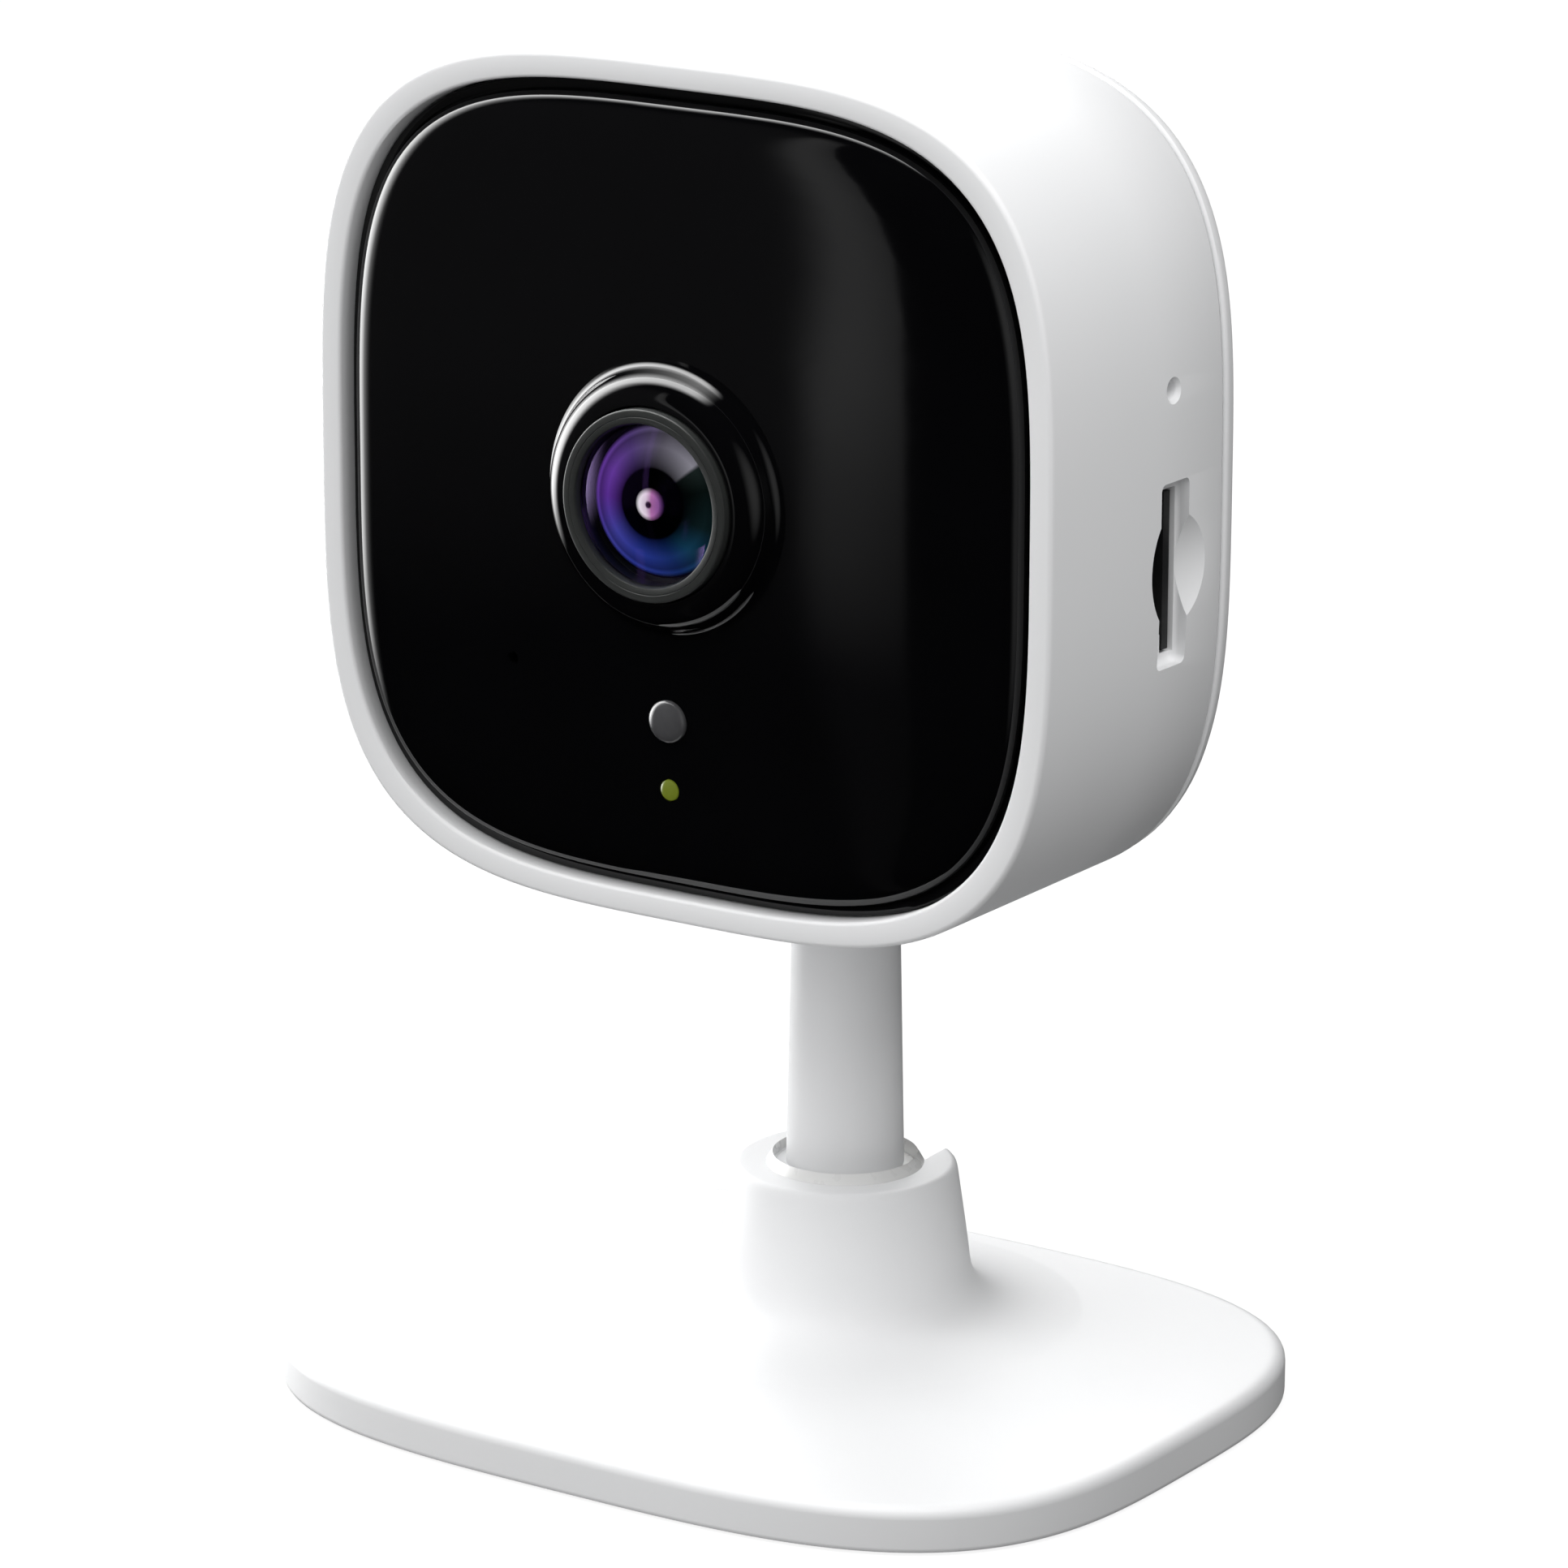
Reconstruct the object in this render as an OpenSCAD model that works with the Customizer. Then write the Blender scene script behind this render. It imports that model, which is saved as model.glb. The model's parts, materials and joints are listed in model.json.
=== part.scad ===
// Indoor security camera: square rounded head on a stem, ball joint in a flat table base.
// Millimetres. +Z is up, -Y is the way the lens faces, the origin is under the base's centre.

/* [Base] */
// Width of the base
base_w = 67.6; // [60:0.1:82]
// Depth of the base
base_d = 54.8; // [50:0.1:66]
// Height of the base's edge above the table
base_edge_h = 3.4; // [3.2:0.1:5]
// How square the base's outline is, 2 being an ellipse
base_squareness = 3.3; // [2.6:0.1:5]
// Thickness of the base shell's skirt
skirt_wall = 1.7; // [1.4:0.1:2.2]
// Thickness of the anti-slip pad
pad_t = 0.6; // [0.5:0.1:1]
// Gap between the pad and the shell's skirt
pad_gap = 0.2; // [0.1:0.05:0.4]
// Height of the skirt's lower edge above the table
skirt_lift = 0.15; // [0.1:0.05:0.3]
// Thickness of the bottom cover
cover_t = 0.6; // [0.5:0.1:0.8]
// Thickness of the steel weight plate
ballast_t = 1.0; // [0.8:0.1:1.1]

/* [Ball joint] */
// Distance of the joint behind the base's centre
joint_y = 7.9; // [6:0.1:9]
// Radius of the ball
ball_r = 6.4; // [5.3:0.05:7.7]
// Thickness of the ball's cup under the ball
cup_floor_t = 0.7; // [0.6:0.05:1.2]
// How far the collar's lip stands in over the ball
lip_bite = 1.45; // [1.3:0.05:1.6]
// Thickness of the collar round the ball at its rim
collar_rim_t = 1.7; // [1.6:0.1:3]
// Thickness of the collar round the ball at its root
collar_root_t = 2.6; // [2.5:0.1:3.6]

/* [Stem] */
// Radius of the stem at its foot
stem_foot_r = 4.25; // [3.5:0.05:4.3]
// Radius of the stem where it enters the head
stem_top_r = 3.78; // [3.1:0.02:4.1]
// Radius of the steel spindle inside the stem
spindle_r = 2.2; // [1.9:0.05:2.4]

/* [Head] */
// Width of the head
head_w = 60.1; // [58:0.1:74]
// Height of the head
head_h = 59.7; // [58:0.1:74]
// Height of the head's centre above the table
head_z = 67.4; // [66:0.1:82]
// How square the head's outline is, 2 being an ellipse
head_squareness = 3.57; // [3.2:0.01:5]
// Distance of the bezel's front edge in front of the base's centre
head_front = 13.5; // [12:0.1:14]
// Length of the front housing
housing_len = 22.1; // [22:0.1:25]
// Thickness of the housing's wall
housing_wall = 1.75; // [1.5:0.05:2.2]
// Bulge of the rear cover behind the housing
rear_depth = 5.9; // [5.8:0.1:8]
// Thickness of the rear cover's wall
rear_wall = 1.6; // [1.4:0.1:1.8]

/* [Front panel] */
// Recess of the panel's edge behind the bezel
panel_recess = 1.4; // [1:0.1:1.8]
// Thickness of the panel at its edge
panel_edge_t = 1.6; // [1.4:0.1:2]
// Height of the panel's middle in front of the bezel
panel_bulge = 0.85; // [0.5:0.05:1]
// Height of the raised ring round the lens above the panel
surround_h = 2.25; // [1.8:0.05:2.6]
// Distance of the sensor window below the lens
window_drop = 15.6; // [14:0.1:16]
// Radius of the sensor window
window_r = 1.5; // [1.2:0.1:1.8]
// Distance of the status light below the lens
led_drop = 20.5; // [19.5:0.1:21]
// Radius of the status light
led_r = 0.75; // [0.5:0.05:1]
// Distance of the microphone hole to the left of the lens and below it
mic_offset = 13.0; // [12.6:0.1:13.6]
// Radius of the microphone hole
mic_r = 0.4; // [0.3:0.05:0.6]

/* [Lens] */
// Height of the lens axis above the head's centre
lens_rise = 0.3; // [0:0.1:0.6]
// Radius of the lens barrel's head
barrel_r = 6.65; // [6.4:0.05:6.9]
// Radius of the front glass
glass_r = 5.5; // [4.6:0.05:5.6]
// Distance of the barrel's front face in front of the base's centre
barrel_front = 17.15; // [16.9:0.05:17.6]
// Travel of the night filter
filter_travel = 3.6; // [3:0.1:3.7]

/* [Electronics] */
// Place of the main board's front face, measured to the rear from the base's centre
board_y = 0; // [-0.3:0.1:0.3]
// Thickness of the main board
board_t = 1.0; // [0.8:0.1:1.2]
// Height of the memory card slot's middle, measured up from the head's centre
card_rise = -4.2; // [-5:0.1:-3]
// Height of the reset hole, measured up from the head's centre
reset_rise = 8.6; // [8:0.1:10]
// Radius of the reset hole
reset_hole_r = 0.65; // [0.5:0.05:0.8]
// Height of the power jack, measured up from the head's centre
jack_rise = -10.4; // [-11:0.1:-9]
// Radius of the speaker
speaker_r = 10.0; // [8:0.1:10.5]
// Height of the speaker, measured up from the head's centre
speaker_rise = 10.0; // [9:0.1:12]

/* [Fits] */
// Radial clearance of the ball in its socket and of the spindle in the ball
ball_gap = 0.05; // [0.04:0.01:0.1]
// Clearance of the stem in the notch that it folds through
notch_gap = 0.35; // [0.3:0.05:0.5]
// Clearance between parts that drop into one another
fit_gap = 0.1; // [0.08:0.01:0.15]
// Width of the line between housing and rear cover
seam_gap = 0.25; // [0.15:0.05:0.35]

/* [Hidden] */
$fn = 64;

outline_steps = 72;
overshoot = 1;

// heights in the base, from the table up
ballast_z = pad_t + cover_t;
ceiling_z = ballast_z + ballast_t + fit_gap;
retainer_t = 0.6;
cup_floor_z = ceiling_z + 1;
joint_z = cup_floor_z + cup_floor_t + ball_r;
collar_open_r = ball_r - lip_bite;
collar_rim_r = ball_r + collar_rim_t;
collar_root_r = ball_r + collar_root_t;
cup_rim_z = joint_z - 1.2;
rim_z = joint_z + sqrt(pow(ball_r + ball_gap, 2) - pow(collar_open_r, 2));
ball_top_z = rim_z - 0.35;
notch_r = stem_foot_r + notch_gap;
cup_r = min(ball_r + 0.8, collar_root_r - 1.8);
retainer_r = cup_r + 3.7;
retainer_screw_ring = cup_r + 1.8;
cover_screw_x = base_w / 2 - 9.3;
cover_screw_y = base_d / 2 - 11.4;
keyhole_x = 20;
keyhole_y = -7;
keyhole_slide = 6;
keyhole_entry_r = 3.4;
keyhole_slot_r = 1.8;
keyhole_head_r = 3.9;
keyhole_head_h = 1.5;

// stem and its fixing
spindle_foot_z = joint_z - 1.8;
stem_foot_z = ball_top_z + fit_gap;
head_bottom_z = head_z - head_h / 2;
bracket_z = head_bottom_z + housing_wall + 0.25;
bracket_h = 6;
bracket_w = 2 * stem_top_r + 10.4;
bracket_front = joint_y - stem_top_r - 0.6;
bracket_back = joint_y + stem_top_r - 2.2;
bracket_screw_x = stem_top_r + 2.9;
bracket_screw_z = bracket_z + 1.6;
stem_pin_z = bracket_z + 4.3;
stem_pin_r = 0.8;
stem_end_z = bracket_z + bracket_h + 0.6;
stem_hole_r = stem_top_r + 0.2;
washer_t = 0.5;

// depths in the head, measured along Y
front_y = -head_front;
seam_y = front_y + housing_len;
rear_y = seam_y + rear_depth;
rear_inner_y = rear_y - rear_wall - 0.7;
rear_round = rear_depth - seam_gap;
rear_inset = 9;
panel_edge_y = front_y + panel_recess;
panel_back_y = panel_edge_y + panel_edge_t;
panel_front_y = front_y - panel_bulge;
tape_t = 0.2;
ledge_y = panel_back_y + tape_t;
ledge_t = 1.2;
led_board_y = panel_back_y + 2.1;
led_board_t = 1.0;
board_back_y = board_y + board_t;
lens_z = head_z + lens_rise;
panel_hole_r = barrel_r + 0.17;
surround_r = barrel_r + 2.5;
thread_r = 6;
lens_bore_r = glass_r - 0.8;
boss_r = 2.8;
boss_x = (head_w / 2 - housing_wall) * pow(0.5, 1 / head_squareness) - boss_r * sqrt(0.5) + 0.2;
boss_z = (head_h / 2 - housing_wall) * pow(0.5, 1 / head_squareness) - boss_r * sqrt(0.5) + 0.2;
board_half_w = head_w / 2 - 4.45;
board_half_h = head_h / 2 - 4.65;
led_screw_x = head_w / 2 - 7.45;
led_board_half_w = led_screw_x + 2;
led_board_half_h = led_drop + 2.4;

// card, reset switch and jack
card_y = board_back_y + 2.2;
card_t = 0.8;
card_w = 11;
card_len = 15;
pocket_depth = 1.2;
pocket_floor_x = head_w / 2 - pocket_depth;
pocket_y = card_y - 2.7;
pocket_w = 3.6;
pocket_low = card_rise - 6.4;
pocket_h = 12.9;
card_out_x = pocket_floor_x - 0.05;
card_push = 0.6;
socket_out_x = board_half_w - 0.2;
socket_in_x = card_out_x - card_len - card_push - 0.4;
reset_y = board_back_y + 1.0;
button_r = 0.5;
switch_out_x = board_half_w - 0.2;
jack_w = 7.6;
jack_h = 8.4;
jack_bore_r = 1.75;
jack_face_y = rear_inner_y - fit_gap;
jack_hole_r = 3.5;
speaker_back_y = rear_inner_y - 1.2;
speaker_t = 4.6;

// ---- outlines and placing ----

// Limits on both sides of a middle
function span(middle, low, high) = [middle + low, middle + high];

// Rounded square or oblong, the wider the exponent the squarer
module squircle(w, h, n) {
    polygon([for (i = [0 : outline_steps - 1])
        let (a = 360 * i / outline_steps,
             c = cos(a), s = sin(a),
             r = pow(pow(abs(c) * 2 / w, n) + pow(abs(s) * 2 / h, n), -1 / n))
        [r * c, r * s]]);
}

module base_outline(inset = 0)
    squircle(base_w - 2 * inset, base_d - 2 * inset, base_squareness);

module head_outline(inset = 0)
    squircle(head_w - 2 * inset, head_h - 2 * inset, head_squareness);

// Extrudes an outline seen from the front between two depths
module deep(front, back, z = head_z)
    translate([0, back, z]) rotate([90, 0, 0]) linear_extrude(back - front) children();

// Puts a revolved shape on an axis towards the front, its +Z towards -Y
module facing(x = 0, z = lens_z) translate([x, 0, z]) rotate([90, 0, 0]) children();

// Round bar along Y between two depths
module rod_y(r, front, back, x = 0, z = head_z)
    translate([x, back, z]) rotate([90, 0, 0]) cylinder(r = r, h = back - front);

// Round bar along X
module rod_x(r, from, to, y, z) translate([from, y, z]) rotate([0, 90, 0]) cylinder(r = r, h = to - from);

// Box from its limits
module box(x, y, z) translate([x[0], y[0], z[0]]) cube([x[1] - x[0], y[1] - y[0], z[1] - z[0]]);

// Everything on the stem's axis
module on_joint() translate([0, joint_y, 0]) children();

// Places children on both sides and above and below the head's centre
module head_corners()
    for (sx = [-1, 1], sz = [-1, 1]) translate([sx * boss_x, 0, head_z + sz * boss_z]) children();

module cover_screw_places()
    for (sx = [-1, 1], sy = [-1, 1]) translate([sx * cover_screw_x, sy * cover_screw_y, 0]) children();

// Keyhole: a round entry and a narrow slot towards the rear
module keyholes(entry_r, slot_r, z0, z1)
    for (sx = [-1, 1]) translate([sx * keyhole_x, keyhole_y, z0]) {
        cylinder(r = entry_r, h = z1 - z0);
        translate([0, keyhole_slide, 0]) cylinder(r = slot_r, h = z1 - z0);
        translate([-slot_r, 0, 0]) cube([2 * slot_r, keyhole_slide, z1 - z0]);
    }

// Channel that the stem swings through when it folds to the rear
module fold_channel(r = notch_r)
    translate([0, joint_y, joint_z]) {
        rotate([-90, 0, 0]) cylinder(r = r, h = base_d);
        translate([-r, 0, 0]) cube([2 * r, base_d, rim_z]);
    }

// ---- base ----

module base_shell() color("white") difference() {
    union() {
        hull() {
            translate([0, 0, skirt_lift]) linear_extrude(base_edge_h - skirt_lift - 0.8) base_outline();
            translate([0, 0, base_edge_h - 1]) linear_extrude(0.75) base_outline(0.25);
            translate([0, 0, base_edge_h - 1]) linear_extrude(1) base_outline(0.8);
        }
        on_joint() rotate_extrude() polygon([
            [0, ceiling_z], [collar_root_r + 8.5, ceiling_z],
            [collar_root_r + 8.5, base_edge_h - 0.02],
            [collar_root_r + 5, base_edge_h + 0.25], [collar_root_r + 2.6, base_edge_h + 0.75],
            [collar_root_r + 1.1, base_edge_h + 1.4], [collar_root_r + 0.35, base_edge_h + 2.2],
            [collar_root_r + 0.05, base_edge_h + 3.2], [collar_root_r, base_edge_h + 4.2],
            [collar_rim_r + 0.05, rim_z - 0.55], [collar_rim_r - 0.12, rim_z - 0.2],
            [collar_rim_r - 0.5, rim_z], [0, rim_z]
        ]);
        cover_screw_places() translate([0, 0, ballast_z]) cylinder(r = 2.3, h = ceiling_z - ballast_z + 0.3);
    }
    // hollow for cover and weight
    difference() {
        translate([0, 0, -overshoot]) linear_extrude(ceiling_z + overshoot) base_outline(skirt_wall);
        cover_screw_places() translate([0, 0, ballast_z]) cylinder(r = 2.3, h = 2 * ceiling_z);
    }
    cover_screw_places() cylinder(r = 0.8, h = base_edge_h - 0.6);
    keyholes(keyhole_head_r, keyhole_head_r, ballast_z, ballast_z + keyhole_head_h);
    // seat of the ball, bore of its cup, and the notch
    translate([0, joint_y, joint_z]) sphere(r = ball_r + ball_gap);
    on_joint() translate([0, 0, joint_z]) cylinder(r = collar_open_r, h = rim_z);
    on_joint() cylinder(r = cup_r + fit_gap, h = cup_rim_z + fit_gap);
    on_joint() for (a = [-90, 30, 150]) rotate([0, 0, a])
        translate([retainer_screw_ring, 0, 0]) cylinder(r = 0.7, h = ceiling_z + 2);
    fold_channel();
}

module base_pad() color("dimgray") difference() {
    linear_extrude(pad_t) base_outline(skirt_wall + pad_gap);
    keyholes(keyhole_entry_r, keyhole_slot_r, -overshoot, pad_t + overshoot);
}

module base_cover() color("whitesmoke") difference() {
    translate([0, 0, pad_t]) linear_extrude(cover_t) base_outline(skirt_wall + fit_gap);
    keyholes(keyhole_entry_r, keyhole_slot_r, 0, ballast_z + overshoot);
    on_joint() translate([0, 0, ballast_z - 0.1]) cylinder(r = retainer_r, h = 1);
    cover_screw_places() translate([0, 0, pad_t]) cylinder(r1 = 1.8, r2 = 1.1, h = cover_t);
    cover_screw_places() cylinder(r = 1.1, h = 3);
}

module ballast_plate() color("silver") difference() {
    translate([0, 0, ballast_z]) linear_extrude(ballast_t) base_outline(skirt_wall + 0.7);
    on_joint() cylinder(r = retainer_r + 0.5, h = 10);
    keyholes(keyhole_head_r + 0.3, keyhole_head_r + 0.3, 0, 10);
    cover_screw_places() cylinder(r = 2.6, h = 10);
}

module base_cover_screws() color("gray") cover_screw_places() {
    translate([0, 0, pad_t]) cylinder(r1 = 1.7, r2 = 1.0, h = cover_t);
    translate([0, 0, pad_t]) cylinder(r = 0.75, h = base_edge_h - pad_t - 0.7);
}

module ball_cup() color("ivory") difference() {
    on_joint() translate([0, 0, cup_floor_z]) cylinder(r = cup_r, h = cup_rim_z - cup_floor_z);
    translate([0, joint_y, joint_z]) sphere(r = ball_r + ball_gap);
    on_joint() cylinder(r = 3.9, h = joint_z);
    fold_channel();
}

module disc_spring() color("silver") on_joint() rotate_extrude() polygon([
    [cup_r - 0.3, ceiling_z], [cup_r - 0.3, ceiling_z + 0.3],
    [4.6, cup_floor_z], [4.6, cup_floor_z - 0.3]
]);

module cup_retainer() color("silver") on_joint() difference() {
    translate([0, 0, ceiling_z - retainer_t]) cylinder(r = retainer_r, h = retainer_t);
    cylinder(r = 3.4, h = 10);
    for (a = [-90, 30, 150]) rotate([0, 0, a])
        translate([retainer_screw_ring, 0, 0]) cylinder(r = 0.9, h = 10);
}

module retainer_screws() color("gray") on_joint() for (a = [-90, 30, 150]) rotate([0, 0, a])
    translate([retainer_screw_ring, 0, ceiling_z - retainer_t - 0.5]) {
        cylinder(r = 1.4, h = 0.5);
        cylinder(r = 0.65, h = retainer_t + 2.3);
    }

// ---- ball and stem ----

module swivel_ball() color("gainsboro") difference() {
    intersection() {
        translate([0, joint_y, joint_z]) sphere(r = ball_r);
        on_joint() translate([0, 0, joint_z - 2 * ball_r])
            cylinder(r = 2 * ball_r, h = ball_top_z - joint_z + 2 * ball_r);
    }
    on_joint() cylinder(r = spindle_r + ball_gap, h = 2 * rim_z);
    on_joint() cylinder(r = spindle_r + 1.4, h = spindle_foot_z);
}

module stem() color("white") difference() {
    on_joint() rotate_extrude() polygon([
        [0, stem_foot_z], [stem_foot_r - 0.2, stem_foot_z], [stem_foot_r, stem_foot_z + 0.3],
        [stem_top_r, head_bottom_z], [stem_top_r, stem_end_z - 0.4], [stem_top_r - 0.4, stem_end_z],
        [0, stem_end_z]
    ]);
    on_joint() cylinder(r = spindle_r, h = stem_foot_z + 15);
    rod_x(stem_pin_r, -bracket_w, bracket_w, joint_y, stem_pin_z);
}

module spindle() color("silver") on_joint() difference() {
    translate([0, 0, spindle_foot_z]) cylinder(r = spindle_r, h = stem_foot_z + 15 - spindle_foot_z);
    cylinder(r = 1.0, h = spindle_foot_z + 5);
}

module spindle_washer() color("silver") on_joint() difference() {
    translate([0, 0, spindle_foot_z - washer_t - 0.02]) cylinder(r = spindle_r + 1.1, h = washer_t);
    cylinder(r = 1.1, h = 20);
}

module spindle_screw() color("gray") on_joint() {
    translate([0, 0, spindle_foot_z - washer_t - 1.32]) cylinder(r = 2.0, h = 1.3);
    translate([0, 0, spindle_foot_z - washer_t - 1.32]) cylinder(r = 0.95, h = 5.5);
}

module stem_pin() color("silver") rod_x(stem_pin_r, -bracket_w / 2, bracket_w / 2, joint_y, stem_pin_z);

module stem_bracket() color("dimgray") difference() {
    box([-bracket_w / 2, bracket_w / 2], [bracket_front, bracket_back], [bracket_z, bracket_z + bracket_h]);
    on_joint() cylinder(r = stem_top_r + 0.07, h = 2 * head_z);
    rod_x(stem_pin_r, -bracket_w, bracket_w, joint_y, stem_pin_z);
    for (sx = [-1, 1]) {
        rod_y(1.1, bracket_front - 1, bracket_back + 1, sx * bracket_screw_x, bracket_screw_z);
        rod_y(1.6, bracket_back - 1.4, bracket_back + 1, sx * bracket_screw_x, bracket_screw_z);
    }
}

module bracket_screws() color("gray") for (sx = [-1, 1]) {
    rod_y(1.5, bracket_back - 1.35, bracket_back - 0.15, sx * bracket_screw_x, bracket_screw_z);
    rod_y(0.9, bracket_front - 3, bracket_back - 0.2, sx * bracket_screw_x, bracket_screw_z);
}

// ---- head: housing, panel and rear cover ----

module card_pocket() {
    low = head_z + pocket_low;
    r = 0.5;
    // pocket with round corners
    for (z = [low + r, low + pocket_h - r], y = [pocket_y + r, pocket_y + pocket_w - r])
        rod_x(r, pocket_floor_x, head_w, y, z);
    box([pocket_floor_x, head_w], [pocket_y + r, pocket_y + pocket_w - r], [low, low + pocket_h]);
    box([pocket_floor_x, head_w], [pocket_y, pocket_y + pocket_w], [low + r, low + pocket_h - r]);
    // finger openings: a deep one in front of the card, a bowl behind it
    intersection() {
        rod_x(5.2, 0, head_w, pocket_y + 4.1, head_z + card_rise + 0.4);
        box([pocket_floor_x - 2, head_w], [pocket_y - 2, card_y], [low, low + pocket_h]);
    }
    intersection() {
        translate([head_w / 2 + 5.75, pocket_y + 1.8, head_z + card_rise + 0.3]) sphere(r = 7);
        box([0, head_w], [card_y, seam_y], span(head_z + card_rise, -5, 5));
    }
    // slot for the card
    box([0, head_w], [card_y - card_t / 2 - 0.35, card_y + card_t / 2 + 0.35],
        span(head_z + card_rise, -card_w / 2 - 0.2, card_w / 2 + 0.2));
}

module front_housing() color("white") difference() {
    union() {
        difference() {
            union() {
                hull() {
                    deep(front_y, front_y + 0.02) head_outline(0.28);
                    deep(front_y + 0.12, front_y + 0.14) head_outline(0.07);
                    deep(front_y + 0.4, front_y + 0.65) head_outline();
                }
                deep(front_y + 0.6, seam_y) head_outline();
            }
            deep(front_y - overshoot, seam_y + overshoot) head_outline(housing_wall);
        }
        // ledge behind the panel
        difference() {
            deep(ledge_y, ledge_y + ledge_t) head_outline(housing_wall - 0.2);
            deep(ledge_y - overshoot, ledge_y + ledge_t + overshoot) head_outline(housing_wall + 1.3);
        }
        // posts for the main board, webs for the light board, blocks for the stem bracket
        head_corners() rod_y(boss_r, ledge_y + ledge_t, board_y, 0, 0);
        for (sx = [-1, 1]) {
            box(sx > 0 ? [led_screw_x - 2.2, head_w / 2 - 1] : [1 - head_w / 2, 2.2 - led_screw_x],
                [led_board_y + led_board_t, led_board_y + led_board_t + 3.4], span(head_z, -2.2, 2.2));
            box(span(sx * bracket_screw_x, -2.2, 2.2), [bracket_front - 4, bracket_front],
                [head_bottom_z + 1, bracket_screw_z + 1.9]);
        }
        box([pocket_floor_x - 1.6, head_w / 2 - 1], [pocket_y - 2.6, seam_y],
            span(head_z, pocket_low - 1.5, pocket_low + pocket_h + 1.5));
    }
    head_corners() rod_y(0.8, board_y - 5, board_y + 1, 0, 0);
    for (sx = [-1, 1]) {
        rod_y(0.7, led_board_y, led_board_y + led_board_t + 3, sx * led_screw_x, head_z);
        rod_y(0.9, bracket_front - 3.2, bracket_front + 1, sx * bracket_screw_x, bracket_screw_z);
    }
    card_pocket();
    rod_x(reset_hole_r, 0, head_w, reset_y, head_z + reset_rise);
    translate([head_w / 2 - 0.4, reset_y, head_z + reset_rise]) rotate([0, 90, 0])
        cylinder(r1 = reset_hole_r, r2 = reset_hole_r + 1, h = 1);
    on_joint() cylinder(r = stem_hole_r, h = head_bottom_z + 5);
}

module front_panel() color("black") difference() {
    union() {
        hull() {
            deep(panel_edge_y, panel_back_y) head_outline(housing_wall + fit_gap);
            deep(panel_edge_y - 0.75, panel_edge_y) head_outline(housing_wall + 0.55);
            deep(front_y + 0.1, panel_edge_y) head_outline(housing_wall + 1.4);
            deep(front_y - panel_bulge * 0.42, panel_edge_y) head_outline(housing_wall + 3.2);
            deep(front_y - panel_bulge * 0.8, panel_edge_y) head_outline(housing_wall + 9);
            deep(panel_front_y, panel_edge_y) head_outline(housing_wall + 17);
        }
        facing() rotate_extrude() polygon([
            [0, -panel_edge_y], [surround_r + 0.6, -panel_edge_y], [surround_r + 0.6, -panel_front_y - 0.05],
            [surround_r + 0.1, -panel_front_y + 0.18], [surround_r - 0.2, -panel_front_y + 0.7],
            [surround_r - 0.5, -panel_front_y + surround_h - 0.8],
            [surround_r - 0.95, -panel_front_y + surround_h - 0.3],
            [surround_r - 1.5, -panel_front_y + surround_h - 0.05],
            [surround_r - 1.95, -panel_front_y + surround_h], [0, -panel_front_y + surround_h]
        ]);
    }
    facing() cylinder(r = panel_hole_r, h = 3 * head_front);
    facing(0, lens_z - window_drop) cylinder(r = window_r + 0.05, h = 3 * head_front);
    facing(0, lens_z - led_drop) cylinder(r = led_r + 0.05, h = 3 * head_front);
    facing(-mic_offset, lens_z - mic_offset) cylinder(r = mic_r, h = 3 * head_front);
}

module panel_tape() color("black") difference() {
    deep(panel_back_y, ledge_y) head_outline(housing_wall + 0.3);
    deep(panel_back_y - 1, ledge_y + 1) head_outline(housing_wall + 1.2);
}

module sensor_window() color("gray") facing(0, lens_z - window_drop) rotate_extrude() polygon([
    [0, -panel_back_y - 0.7], [window_r + 0.9, -panel_back_y - 0.7], [window_r + 0.9, -panel_back_y],
    [window_r, -panel_back_y], [window_r, -panel_front_y - 0.05],
    [window_r * 0.7, -panel_front_y + 0.25], [0, -panel_front_y + 0.4]
]);

module led_light_pipe() color("yellowgreen") facing(0, lens_z - led_drop) {
    translate([0, 0, -panel_back_y]) cylinder(r = led_r, h = panel_back_y - panel_front_y - 0.15);
    translate([0, 0, -panel_back_y - 0.8]) cylinder(r = led_r + 0.7, h = 0.8);
}

module mic_boot() color("black") facing(-mic_offset, lens_z - mic_offset) difference() {
    translate([0, 0, -led_board_y + 1.1]) cylinder(r = 2.2, h = led_board_y - panel_back_y - 1.1);
    cylinder(r = 0.6, h = 3 * head_front);
}

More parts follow.
